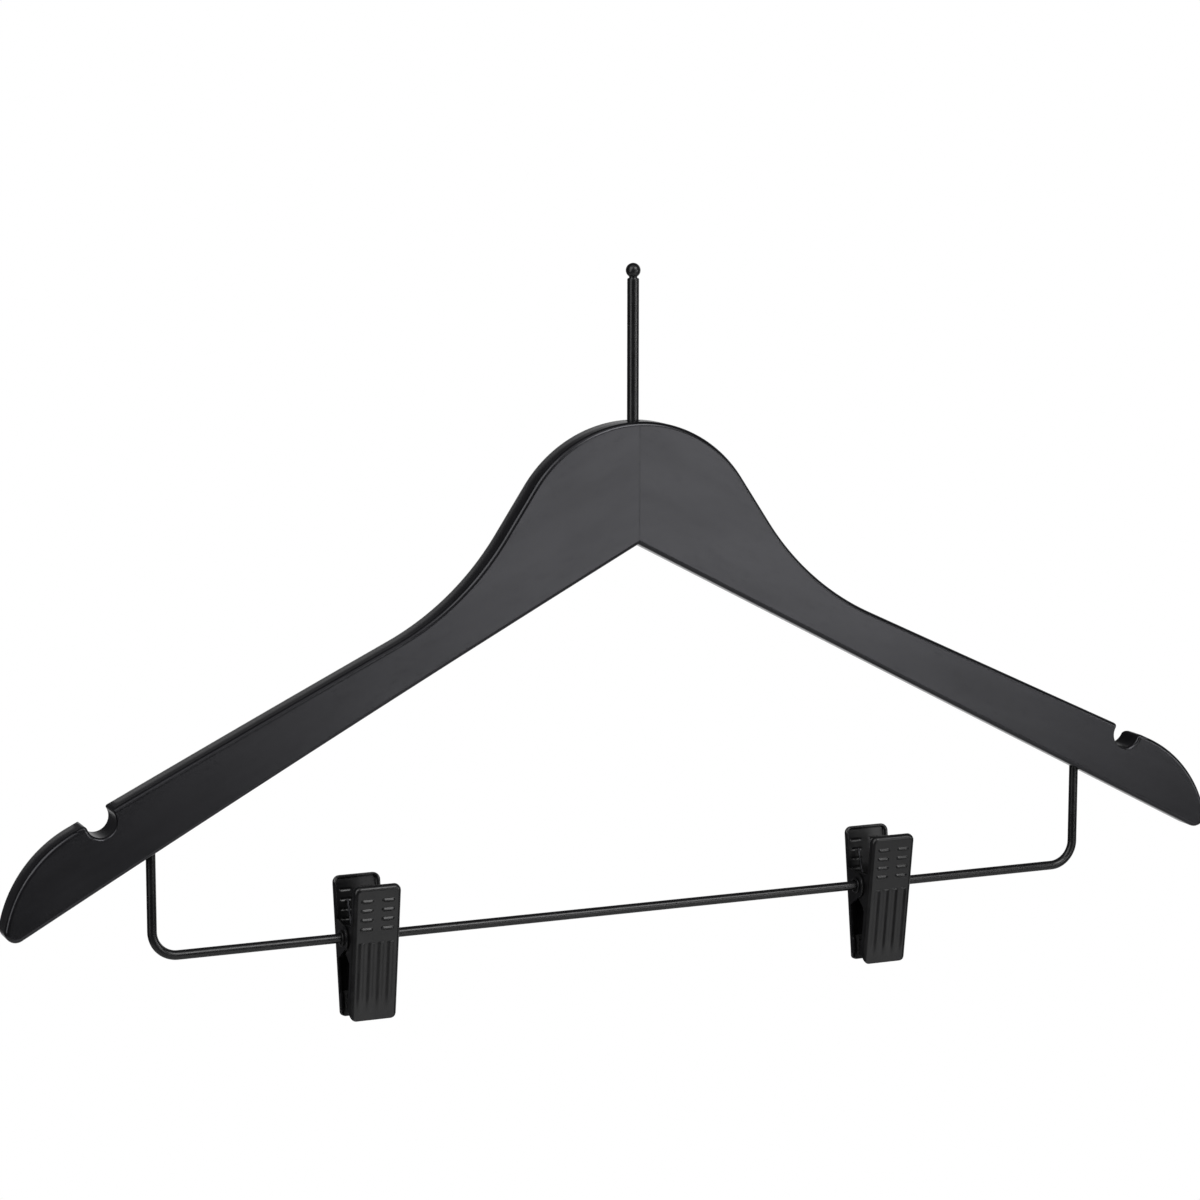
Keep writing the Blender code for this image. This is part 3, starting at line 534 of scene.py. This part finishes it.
# Wire bar
# One length of round wire, painted satin black and bent twice. Its legs are pressed into holes
# in the undersides of the arms, and the clips run on the straight rail between the bends.
WIRE_RADIUS = 0.0016
BAR_HALF_SPAN = 0.172
RAIL_Z = -0.2183
BEND_RADIUS = 0.0085
LEG_DEPTH = 0.012
BEND_STEPS = 20
WIRE_RESOLUTION = 6
WIRE_EDGE_ANGLE = math.radians(50)
RAIL_Y = bow(BAR_HALF_SPAN)


def wire_piece(name, points, radius):
    """Round wire along a path, with closed ends, as a mesh at the origin."""
    path = bpy.data.curves.new(name + "_path", "CURVE")
    path.dimensions = "3D"
    path.bevel_depth = radius
    path.bevel_resolution = WIRE_RESOLUTION
    path.use_fill_caps = True
    spline = path.splines.new("POLY")
    spline.points.add(len(points) - 1)
    for point, place in zip(spline.points, points):
        point.co = (*place, 1.0)
    drawn = bpy.data.objects.new(name + "_path", path)
    bpy.context.scene.collection.objects.link(drawn)
    bpy.context.view_layer.update()
    graph = bpy.context.evaluated_depsgraph_get()
    shape = bmesh.new()
    shape.from_mesh(bpy.data.meshes.new_from_object(drawn.evaluated_get(graph), depsgraph=graph))
    bpy.data.objects.remove(drawn, do_unlink=True)
    bmesh.ops.remove_doubles(shape, verts=shape.verts, dist=WELD)
    bmesh.ops.recalc_face_normals(shape, faces=shape.faces)
    return link_piece(name, shape)


leg_top = APEX - BAR_HALF_SPAN * math.tan(UNDERSIDE_ANGLE) + LEG_DEPTH
right_half = [Vector((BAR_HALF_SPAN, RAIL_Y, leg_top))]
for step in range(BEND_STEPS + 1):
    angle = math.pi / 2 * step / BEND_STEPS
    right_half.append(Vector((BAR_HALF_SPAN - BEND_RADIUS * (1.0 - math.cos(angle)), RAIL_Y,
                              RAIL_Z + BEND_RADIUS * (1.0 - math.sin(angle)))))
left_half = [Vector((-point.x, point.y, point.z)) for point in reversed(right_half)]
bar = wire_piece("clip_bar_painted", right_half + left_half, WIRE_RADIUS)
finish_surface(bar, satin_black, WIRE_EDGE_ANGLE)
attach(bar, "hanger_body")
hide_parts("clip_bar")


# Pivot tubes of the clips
# Each clip turns and slides on a short tube rolled from thin steel. The tube passes through the
# ears of both jaws and its ends are flared over them, which holds the clip together.
CLIP_PLACES = (("left", -0.0983), ("right", 0.0932))
SHEET = 0.0008
SEAT_GAP = 0.0003
RUN_GAP = 0.00025
JAW_WIDTH = 0.0165
JAW_SHIFT = (SHEET + SEAT_GAP) / 2
TUBE_WALL = 0.00035
TUBE_INNER = WIRE_RADIUS + RUN_GAP
TUBE_OUTER = TUBE_INNER + TUBE_WALL
RIM_REACH = 0.0006
RIM_RADIUS = TUBE_OUTER + RIM_REACH
RIM_THICKNESS = 0.0004
RIM_STEPS = 6
TUBE_EDGE_ANGLE = math.radians(40)
CLIP_ROUGHNESS = (0.28, 0.34)

clip_paint = painted_steel("black_paint_on_clips", CLIP_ROUGHNESS)
outside = JAW_WIDTH / 2 + JAW_SHIFT + RUN_GAP
for side, clip_x in CLIP_PLACES:
    flare = []
    for step in range(RIM_STEPS + 1):
        angle = math.pi * step / RIM_STEPS
        flare.append((RIM_RADIUS - RIM_THICKNESS / 2 * (1.0 - math.sin(angle)),
                      outside + RIM_THICKNESS / 2 + RIM_THICKNESS / 2 * math.cos(angle)))
    upper = [(TUBE_INNER, outside + RIM_THICKNESS)] + flare + [(TUBE_OUTER, outside)]
    lower = [(radius, -height) for radius, height in reversed(upper)]
    shape = turned(upper + lower, ROUND_STEPS)
    along_wire = Matrix.Rotation(math.pi / 2, 4, "Y")
    bmesh.ops.transform(shape, verts=shape.verts,
                        matrix=Matrix.Translation((clip_x, RAIL_Y, RAIL_Z)) @ along_wire)
    tube = link_piece(side + "_pivot_tube_painted", shape)
    finish_surface(tube, clip_paint, TUBE_EDGE_ANGLE)
    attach(tube, side + "_clip_carrier")
    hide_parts(side + "_pivot_tube")


# Jaws of the clips
# Four like stampings of thin black-painted steel. Each has folded sides that grow into two ears,
# a lip turned in at the lever's end, four pairs of raised dashes and four soft ribs.
JAW_TOP = 0.0203
JAW_BOTTOM = 0.0271
JAW_TILT = math.radians(8.0)
JAW_CORNER = 0.0024
FOOT_CORNER = 0.0024
FOLD_RADIUS = 0.0014
PIVOT_DEPTH = 0.0080
LEVER_FLANGE = 0.0024
LIP_REACH = 0.0019
LOWER_FLANGE = 0.0028
MOUTH_FLANGE = 0.0035
MOUTH_LENGTH = 0.0085
EAR_RADIUS = 0.0043
EAR_RISE = 0.0058
EAR_FALL = 0.0073
EAR_HOLE = 0.00245
DASH_HALF_LENGTH = 0.0019
DASH_REACH = 0.00080
DASH_HEIGHT = 0.00050
DASH_SPREAD = 0.0037
DASH_FIRST = 0.0153
DASH_PITCH = 0.0033
DASH_ROWS = 4
RIB_REACH = 0.0016
RIB_HEIGHT = 0.00022
RIB_SPREAD = 0.0034
RIB_TOP = 0.0008
RIB_BOTTOM = 0.0245
RIB_FADE = 0.0060
RIBS = 4
SHEET_EASING = 0.00012
SHEET_EASING_ANGLE = math.radians(55)
SHEET_EASING_SEGMENTS = 2
JAW_EDGE_ANGLE = math.radians(42)
MIDDLE_COLUMNS = 56
CORNER_COLUMNS = 8
FOLD_STEPS = 8
WALL_STEPS = 6
PLACE_DIGITS = 8
ROWS_UP_TO = ((-0.0225, 14), (-0.0090, 18), (-0.0005, 26), (0.0018, 16), (0.0046, 10),
              (0.0162, 110), (JAW_TOP - FOLD_RADIUS, 14))


def tangent_height(start, towards):
    """Depth and height where a line from a flange's edge touches the round end of the ear."""
    gap = Vector((PIVOT_DEPTH, 0.0)) - start
    turn = math.acos(EAR_RADIUS / gap.length)
    heading = math.atan2(-gap.y, -gap.x) + towards * turn
    return Vector((PIVOT_DEPTH, 0.0)) + EAR_RADIUS * Vector((math.cos(heading), math.sin(heading)))


ear_top = Vector((LEVER_FLANGE, EAR_RISE))
ear_foot = Vector((LOWER_FLANGE, -EAR_FALL))
top_touch = tangent_height(ear_top, -1.0)
foot_touch = tangent_height(ear_foot, 1.0)


def flange_depth(height):
    """How deep the folded side is at a height, ear included."""
    if height >= ear_top.y:
        return LEVER_FLANGE
    if height >= top_touch.y:
        share = (ear_top.y - height) / (ear_top.y - top_touch.y)
        return LEVER_FLANGE + share * (top_touch.x - LEVER_FLANGE)
    if height >= foot_touch.y:
        return PIVOT_DEPTH + math.sqrt(max(EAR_RADIUS * EAR_RADIUS - height * height, 0.0))
    if height >= ear_foot.y:
        share = (height - ear_foot.y) / (foot_touch.y - ear_foot.y)
        return LOWER_FLANGE + share * (foot_touch.x - LOWER_FLANGE)
    mouth_top = -JAW_BOTTOM + MOUTH_LENGTH
    share = min(max((mouth_top - height) / (MOUTH_FLANGE - LOWER_FLANGE), 0.0), 1.0)
    return LOWER_FLANGE + share * (MOUTH_FLANGE - LOWER_FLANGE)


def swell(distance, reach):
    """Soft bump: 1 in the middle and 0 at its reach."""
    return 0.5 + 0.5 * math.cos(math.pi * min(distance / reach, 1.0))


def pressed_height(x, height):
    """How far the pressed marks stand out of the face."""
    raised = 0.0
    for row in range(DASH_ROWS):
        up = abs(height - (DASH_FIRST - row * DASH_PITCH))
        if up < DASH_REACH:
            past = max(abs(abs(x) - DASH_SPREAD) - DASH_HALF_LENGTH + DASH_REACH / 2, 0.0)
            raised = max(raised, DASH_HEIGHT * swell(math.hypot(past, up), DASH_REACH))
    for rib in range(RIBS):
        aside = abs(x - (rib - (RIBS - 1) / 2) * RIB_SPREAD)
        if aside < RIB_REACH and height < RIB_TOP:
            past = max(height - (RIB_TOP - RIB_REACH / 3), 0.0) * 3
            fade = min(max((height + RIB_BOTTOM) / RIB_FADE, 0.0), 1.0)
            raised = max(raised, RIB_HEIGHT * swell(math.hypot(past, aside), RIB_REACH) * fade)
    return raised


def foot_rise(x, height):
    """How much the round corner lifts a point of the mouth's end."""
    over = max(abs(x) - JAW_WIDTH / 2 + FOOT_CORNER, 0.0)
    drop = FOOT_CORNER - math.sqrt(max(FOOT_CORNER * FOOT_CORNER - over * over, 0.0))
    share = (-JAW_BOTTOM + MOUTH_LENGTH - height) / MOUTH_LENGTH
    return drop * min(max(share, 0.0), 1.0)


def draw_ring(shape, edges, ring, place):
    """Draw the sheet's edge on by one step; place says where each point of the ring goes."""
    geometry = bmesh.ops.extrude_edge_only(shape, edges=edges)["geom"]
    added = {}
    for vert in geometry:
        if isinstance(vert, bmesh.types.BMVert):
            rim = ring[vert.co.to_tuple(PLACE_DIGITS)]
            vert.co = place(*rim)
            added[vert.co.to_tuple(PLACE_DIGITS)] = rim
    return [edge for edge in geometry if isinstance(edge, bmesh.types.BMEdge)], added


def folded_place(point, facing, angle):
    """Place of a rim point in the fold, at an angle round it."""
    spread = point + FOLD_RADIUS * math.sin(angle) * facing
    spread.y = FOLD_RADIUS * (1.0 - math.cos(angle))
    spread.z += foot_rise(spread.x, spread.z)
    return spread


def wall_place(point, facing, share):
    """Place of a rim point on the wall behind the fold: side, ear or lip."""
    spread = folded_place(point, facing, math.pi / 2)
    lip = max(facing.z, 0.0)
    depth = flange_depth(spread.z) * (1.0 - lip) + LIP_REACH * lip
    spread.y = FOLD_RADIUS + share * (depth - FOLD_RADIUS)
    return spread


def jaw_stamping():
    """One jaw: its face looks along -Y and its pivot is the X axis."""
    heights = [-JAW_BOTTOM]
    for high, rows in ROWS_UP_TO:
        low = heights[-1]
        for row in range(rows):
            heights.append(low + (high - low) * (row + 1) / rows)
    top = heights[-1]
    corner_radius = JAW_CORNER - FOLD_RADIUS
    straight = JAW_WIDTH / 2 - JAW_CORNER
    shares = [2.0 * column / MIDDLE_COLUMNS - 1.0 for column in range(MIDDLE_COLUMNS + 1)]
    places = [straight * share for share in shares]
    turns = [math.pi / 2 * (step + 1) / CORNER_COLUMNS for step in range(CORNER_COLUMNS)]
    bends = [straight + corner_radius * math.sin(turn) for turn in turns]
    places = [-x for x in reversed(bends)] + places + bends
    shape = bmesh.new()
    bmesh.ops.create_grid(shape, x_segments=len(places) - 1, y_segments=len(heights) - 1, size=0.5)
    ring = {}
    for vert in shape.verts:
        x = places[round((vert.co.x + 0.5) * (len(places) - 1))]
        row = round((vert.co.y + 0.5) * (len(heights) - 1))
        over = max(abs(x) - straight, 0.0)
        drop = corner_radius - math.sqrt(max(corner_radius * corner_radius - over * over, 0.0))
        share = max(heights[row] / top, 0.0)
        flat = Vector((x, 0.0, heights[row] - drop * share))
        vert.co = flat + Vector((0.0, -pressed_height(x, flat.z), foot_rise(x, flat.z)))
        if row == len(heights) - 1:
            centre = Vector((math.copysign(min(abs(x), straight), x), 0.0, top - corner_radius))
            facing = (flat - centre).normalized() if over > 0.0 else Vector((0.0, 0.0, 1.0))
            ring[vert.co.to_tuple(PLACE_DIGITS)] = (flat, facing)
        elif abs(x) > bends[-2]:
            ring[vert.co.to_tuple(PLACE_DIGITS)] = (flat, Vector((math.copysign(1.0, x), 0.0, 0.0)))
    rim = {vert for vert in shape.verts if vert.co.to_tuple(PLACE_DIGITS) in ring}
    edges = [edge for edge in shape.edges
             if edge.is_boundary and all(vert in rim for vert in edge.verts)]
    for step in range(FOLD_STEPS):
        angle = math.pi / 2 * (step + 1) / FOLD_STEPS
        edges, ring = draw_ring(shape, edges, ring,
                                lambda point, facing: folded_place(point, facing, angle))
    for step in range(WALL_STEPS):
        share = (step + 1) / WALL_STEPS
        edges, ring = draw_ring(shape, edges, ring,
                                lambda point, facing: wall_place(point, facing, share))
    bmesh.ops.recalc_face_normals(shape, faces=shape.faces)
    if sum(face.normal.y * face.calc_area() for face in shape.faces) > 0.0:
        bmesh.ops.reverse_faces(shape, faces=shape.faces)
    bmesh.ops.translate(shape, verts=shape.verts, vec=(0.0, -PIVOT_DEPTH, 0.0))
    jaw = link_piece("jaw_stamping", shape)
    wall = jaw.modifiers.new("sheet", "SOLIDIFY")
    wall.thickness = SHEET
    wall.offset = -1.0
    wall.use_even_offset = True
    drill = bmesh.new()
    bmesh.ops.create_cone(drill, cap_ends=True, segments=ROUND_STEPS, radius1=EAR_HOLE,
                          radius2=EAR_HOLE, depth=JAW_WIDTH * 2)
    bmesh.ops.rotate(drill, verts=drill.verts, cent=(0.0, 0.0, 0.0),
                     matrix=Matrix.Rotation(math.pi / 2, 3, "Y"))
    cut_with(jaw, [link_piece("ear_drill", drill)])
    easing = jaw.modifiers.new("eased edges", "BEVEL")
    easing.width = SHEET_EASING
    easing.segments = SHEET_EASING_SEGMENTS
    easing.limit_method = "ANGLE"
    easing.angle_limit = SHEET_EASING_ANGLE
    easing.use_clamp_overlap = True
    settle(jaw)
    return jaw


def clip_turn(clip_x, which):
    """Place and turn of a jaw or pad drawn with its face along -Y."""
    turn = math.pi if which == "rear" else 0.0
    shift = -JAW_SHIFT if which == "rear" else JAW_SHIFT
    return (Matrix.Translation((clip_x + shift, RAIL_Y, RAIL_Z)) @ Matrix.Rotation(turn, 4, "Z")
            @ Matrix.Rotation(JAW_TILT, 4, "X"))


stamping = jaw_stamping()
for side, clip_x in CLIP_PLACES:
    for which in ("front", "rear"):
        shape = bmesh.new()
        shape.from_mesh(stamping.data)
        bmesh.ops.transform(shape, verts=shape.verts, matrix=clip_turn(clip_x, which))
        jaw = link_piece(side + "_" + which + "_jaw_painted", shape)
        finish_surface(jaw, clip_paint, JAW_EDGE_ANGLE)
        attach(jaw, side + "_clip_" + which)
        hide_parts(side + "_" + which + "_jaw")
bpy.data.objects.remove(stamping, do_unlink=True)


# Torsion springs
# One spring of black wire sits round each pivot tube in five close turns. Its two straight legs
# press on the inner sides of the levers, the first on the rear one and the last on the front.
SPRING_WIRE = 0.00045
SPRING_TURNS = 5.5
SPRING_PITCH = 0.00145
SPRING_LEG_RISE = 0.0112
TURN_POINTS = 28
SPRING_DARK = (0.020, 0.020, 0.022)
SPRING_PALE = (0.045, 0.045, 0.048)
SPRING_ROUGHNESS = (0.28, 0.42)
OIL_STRETCH = (700.0, 700.0, 700.0)
OIL_SPREAD = (0.35, 0.65)
OIL_DEPTH = 0.00001
OIL_STRENGTH = 0.2


def blued_steel(name):
    """Oiled black spring wire, a little uneven in shine along its length."""
    material = bpy.data.materials.new(name)
    material.use_nodes = True
    nodes = material.node_tree.nodes
    links = material.node_tree.links
    shader = nodes["Principled BSDF"]
    shader.inputs["Metallic"].default_value = 1.0
    coords = nodes.new("ShaderNodeTexCoord")
    oil = vary(material, coords.outputs["Object"], OIL_STRETCH, OIL_SPREAD)
    links.new(between(material, oil, SPRING_DARK, SPRING_PALE), shader.inputs["Base Color"])
    links.new(span(material, oil, SPRING_ROUGHNESS), shader.inputs["Roughness"])
    links.new(dent(material, oil, OIL_DEPTH, OIL_STRENGTH, invert=False), shader.inputs["Normal"])
    return material


spring_steel = blued_steel("black_spring_wire")
coil = TUBE_OUTER + RUN_GAP + SPRING_WIRE
half_coil = SPRING_PITCH * SPRING_TURNS / 2
lever_y = PIVOT_DEPTH * math.cos(JAW_TILT) + SPRING_LEG_RISE * math.sin(JAW_TILT)
leg_y = lever_y - (SHEET + SEAT_GAP + SPRING_WIRE) / math.cos(JAW_TILT)
for side, clip_x in CLIP_PLACES:
    path = [Vector((-half_coil, leg_y, SPRING_LEG_RISE))]
    for step in range(int(TURN_POINTS * SPRING_TURNS) + 1):
        angle = 2 * math.pi * step / TURN_POINTS
        path.append(Vector((-half_coil + SPRING_PITCH * step / TURN_POINTS,
                            coil * math.cos(angle), -coil * math.sin(angle))))
    path.append(Vector((half_coil, -leg_y, SPRING_LEG_RISE)))
    centre = Vector((clip_x, RAIL_Y, RAIL_Z))
    spring = wire_piece(side + "_spring_wound", [centre + point for point in path], SPRING_WIRE)
    finish_surface(spring, spring_steel, WIRE_EDGE_ANGLE)
    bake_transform(spring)
    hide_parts(side + "_spring")


# Grip pads
# Moulded black rubber wedges pushed into the mouths of the jaws. Cross teeth on their meeting
# faces hold the cloth, and their edges are softly rounded from the mould.
PAD_LENGTH = 0.0082
PAD_TOOTH = 0.0005
PAD_END_GAP = 0.0006
PAD_TEETH = 4
PAD_EASING = 0.00014
PAD_EASING_SEGMENTS = 2
PAD_EDGE_ANGLE = math.radians(35)
RUBBER_DARK = (0.0030, 0.0030, 0.0030)
RUBBER_DUSTY = (0.0060, 0.0060, 0.0060)
RUBBER_ROUGHNESS = (0.62, 0.80)
SKIN_STRETCH = (1300.0, 1300.0, 1300.0)
SKIN_SPREAD = (0.35, 0.65)
SKIN_DEPTH = 0.00002
SKIN_STRENGTH = 0.4


def moulded_rubber(name):
    """Dull black rubber with a fine matt skin."""
    material = bpy.data.materials.new(name)
    material.use_nodes = True
    nodes = material.node_tree.nodes
    links = material.node_tree.links
    shader = nodes["Principled BSDF"]
    coords = nodes.new("ShaderNodeTexCoord")
    skin = vary(material, coords.outputs["Object"], SKIN_STRETCH, SKIN_SPREAD)
    links.new(between(material, skin, RUBBER_DARK, RUBBER_DUSTY), shader.inputs["Base Color"])
    links.new(span(material, skin, RUBBER_ROUGHNESS), shader.inputs["Roughness"])
    grained = dent(material, skin, SKIN_DEPTH, SKIN_STRENGTH, invert=False)
    links.new(grained, shader.inputs["Normal"])
    return material


rubber = moulded_rubber("black_rubber_of_pads")
pad_low = -JAW_BOTTOM + PAD_END_GAP
pad_pitch = PAD_LENGTH / (2 * PAD_TEETH)
pad_half = JAW_WIDTH / 2 - SHEET - FOLD_RADIUS / 2
for side, clip_x in CLIP_PLACES:
    for which in ("front", "rear"):
        shape = bmesh.new()
        inner = SHEET + SEAT_GAP
        outline = [(inner, pad_low), (inner, pad_low + PAD_LENGTH)]
        for step in range(2 * PAD_TEETH + 1):
            height = pad_low + PAD_LENGTH - step * pad_pitch
            sunk = PAD_TOOTH if step % 2 == 0 else 0.0
            middle = PIVOT_DEPTH + height * math.tan(JAW_TILT)
            outline.append((middle - SEAT_GAP / 2 - sunk, height))
        verts = []
        for depth, height in outline:
            place = (-pad_half, depth - PIVOT_DEPTH, height)
            verts.append(bmesh.ops.create_vert(shape, co=place)["vert"][0])
        rim = [shape.edges.new(pair) for pair in zip(verts, verts[1:] + verts[:1])]
        cap = bmesh.ops.contextual_create(shape, geom=rim)["faces"]
        drawn = bmesh.ops.extrude_face_region(shape, geom=cap, use_keep_orig=True)["geom"]
        moved = [item for item in drawn if isinstance(item, bmesh.types.BMVert)]
        bmesh.ops.translate(shape, verts=moved, vec=(2 * pad_half, 0.0, 0.0))
        bmesh.ops.recalc_face_normals(shape, faces=shape.faces)
        bmesh.ops.bevel(shape, geom=shape.edges[:], offset=PAD_EASING, offset_type="OFFSET",
                        segments=PAD_EASING_SEGMENTS, profile=0.5, affect="EDGES", material=-1,
                        clamp_overlap=True)
        bmesh.ops.transform(shape, verts=shape.verts, matrix=clip_turn(clip_x, which))
        pad = link_piece(side + "_" + which + "_pad_moulded", shape)
        finish_surface(pad, rubber, PAD_EDGE_ANGLE)
        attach(pad, side + "_clip_" + which)
        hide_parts(side + "_" + which + "_pad")


# Floor and backdrop
# A round pale floor lies well below the hanger and keeps its faint shadow. Floor and backdrop are
# white to the camera. Glossy surfaces see a white sweep low behind the object and a dark studio
# everywhere else.
FLOOR_Z = -1.15
FLOOR_RADIUS = 1.5
FLOOR_SEGMENTS = 96
FLOOR_COLOUR = (0.90, 0.90, 0.90)
FLOOR_SHADE = (0.86, 0.86, 0.86)
PAPER_ROUGHNESS = 0.9
FIBRE_STRETCH = (40.0, 40.0, 40.0)
FIBRE_SPREAD = (0.3, 0.7)
FLOOR_GLOW = 0.84
FLOOR_GLOSSY_SHARE = 0.15
STUDIO_GREY = (0.045, 0.045, 0.048)
BACKDROP_SHARE = 0.85
SWEEP_ACROSS = (-0.12, 0.05)
SWEEP_BEHIND = (0.05, 0.55)
SWEEP_BELOW = (0.32, -0.35)
SWEEP_SLANT = 0.6


def background_share(tree, glossy_share):
    """1 to the camera and through glass, and a share of it to glossy surfaces."""
    rays = tree.nodes.new("ShaderNodeLightPath").outputs
    seen = value_math(tree, "MAXIMUM", rays["Is Camera Ray"], rays["Is Transmission Ray"])
    mirrored = value_math(tree, "MULTIPLY", rays["Is Glossy Ray"], glossy_share)
    return value_math(tree, "MAXIMUM", seen, mirrored)


ground = bmesh.new()
bmesh.ops.create_circle(ground, cap_ends=True, segments=FLOOR_SEGMENTS, radius=FLOOR_RADIUS)
bmesh.ops.translate(ground, verts=ground.verts, vec=(0.0, 0.0, FLOOR_Z))
floor = link_piece("studio_floor", ground)
floor_paper = bpy.data.materials.new("pale_floor_paper")
floor_paper.use_nodes = True
paper = floor_paper.node_tree.nodes["Principled BSDF"]
paper.inputs["Roughness"].default_value = PAPER_ROUGHNESS
paper_coords = floor_paper.node_tree.nodes.new("ShaderNodeTexCoord")
fibres = vary(floor_paper, paper_coords.outputs["Object"], FIBRE_STRETCH, FIBRE_SPREAD)
floor_paper.node_tree.links.new(between(floor_paper, fibres, FLOOR_SHADE, FLOOR_COLOUR),
                                paper.inputs["Base Color"])
paper.inputs["Emission Color"].default_value = (1.0, 1.0, 1.0, 1.0)
paper_share = background_share(floor_paper.node_tree, FLOOR_GLOSSY_SHARE)
glow = value_math(floor_paper.node_tree, "MULTIPLY", paper_share, FLOOR_GLOW)
floor_paper.node_tree.links.new(glow, paper.inputs["Emission Strength"])
floor.data.materials.append(floor_paper)

world = bpy.data.worlds.new("white_backdrop")
bpy.context.scene.world = world
world.use_nodes = True
sky = world.node_tree
sky.nodes.clear()
direction = sky.nodes.new("ShaderNodeTexCoord")
parts = sky.nodes.new("ShaderNodeSeparateXYZ")
sky.links.new(direction.outputs["Generated"], parts.inputs["Vector"])
across = value_math(sky, "MULTIPLY", parts.outputs["X"], SWEEP_SLANT)
slant = value_math(sky, "SUBTRACT", parts.outputs["Z"], across)
masks = []
for value, (dark_at, white_at) in ((parts.outputs["X"], SWEEP_ACROSS),
                                   (parts.outputs["Y"], SWEEP_BEHIND), (slant, SWEEP_BELOW)):
    ramp = sky.nodes.new("ShaderNodeMapRange")
    ramp.inputs["From Min"].default_value = dark_at
    ramp.inputs["From Max"].default_value = white_at
    sky.links.new(value, ramp.inputs["Value"])
    masks.append(ramp.outputs["Result"])
behind = value_math(sky, "MULTIPLY", masks[0], masks[1])
low_behind = value_math(sky, "MULTIPLY", behind, masks[2])
white_share = background_share(sky, value_math(sky, "MULTIPLY", low_behind, BACKDROP_SHARE))
mixed = sky.nodes.new("ShaderNodeMix")
mixed.data_type = "RGBA"
mixed.inputs["A"].default_value = (*STUDIO_GREY, 1.0)
mixed.inputs["B"].default_value = (1.0, 1.0, 1.0, 1.0)
sky.links.new(white_share, mixed.inputs["Factor"])
background = sky.nodes.new("ShaderNodeBackground")
sky.links.new(mixed.outputs["Result"], background.inputs["Color"])
sky_end = sky.nodes.new("ShaderNodeOutputWorld")
sky.links.new(background.outputs["Background"], sky_end.inputs["Surface"])


# Lamps
# Soft panels light the hanger at a plain level. Those above and at the left draw the bright lines
# along the upper rims; those at the right and below give the flat faces their grey sheen.
LAMPS = (
    ("overhead_panel", (-0.25, -0.40, 1.00), (-0.05, 0.0, -0.15), 1.20, 0.80, 1.7),
    ("upper_left_panel", (-0.85, -0.50, 0.72), (-0.12, 0.0, -0.15), 0.90, 0.70, 4.8),
    ("left_panel", (-1.15, -0.45, 0.05), (-0.15, 0.0, -0.15), 0.50, 1.00, 3.3),
    ("front_right_panel", (0.46, -1.00, -0.21), (0.05, 0.0, -0.15), 0.30, 0.37, 1.0),
    ("upper_right_panel", (0.38, -0.98, 0.68), (0.0, 0.0, -0.18), 0.70, 0.65, 7.4),
    ("right_strip", (0.87, -0.77, -0.10), (0.0, 0.0, -0.05), 0.20, 0.50, 1.5),
    ("low_front_panel", (0.50, -1.15, -0.98), (0.0, 0.0, -0.22), 0.90, 0.45, 1.2),
)

for name, place, aim, wide, tall, power in LAMPS:
    lamp = bpy.data.lights.new(name, "AREA")
    lamp.shape = "RECTANGLE"
    lamp.size = wide
    lamp.size_y = tall
    lamp.energy = power
    panel = bpy.data.objects.new(name, lamp)
    panel.location = place
    panel.rotation_euler = (Vector(aim) - Vector(place)).to_track_quat("-Z", "Y").to_euler()
    bpy.context.scene.collection.objects.link(panel)


# Camera
# A long lens at the front left, a little above the hanger, as the photograph was taken.
CAMERA_AZIMUTH = math.radians(23.16)
CAMERA_ELEVATION = math.radians(8.94)
CAMERA_ROLL = math.radians(0.05)
CAMERA_DISTANCE = 1.196
CAMERA_TARGET = Vector((-0.012, 0.0, -0.1112))
LENS = 105.87
SENSOR_WIDTH = 36.0

camera_right = Vector((math.cos(CAMERA_AZIMUTH), -math.sin(CAMERA_AZIMUTH), 0.0))
camera_ahead = Vector((math.sin(CAMERA_AZIMUTH) * math.cos(CAMERA_ELEVATION),
                       math.cos(CAMERA_AZIMUTH) * math.cos(CAMERA_ELEVATION),
                       -math.sin(CAMERA_ELEVATION)))
camera_up = camera_right.cross(camera_ahead)
lens = bpy.data.cameras.new("photo_camera")
lens.lens = LENS
lens.sensor_width = SENSOR_WIDTH
camera = bpy.data.objects.new("photo_camera", lens)
stand = Matrix((camera_right, camera_up, -camera_ahead)).transposed().to_4x4()
stand = stand @ Matrix.Rotation(CAMERA_ROLL, 4, "Z")
stand.translation = CAMERA_TARGET - CAMERA_DISTANCE * camera_ahead
camera.matrix_world = stand
bpy.context.scene.collection.objects.link(camera)
bpy.context.scene.camera = camera
bpy.context.scene.view_settings.view_transform = "Standard"
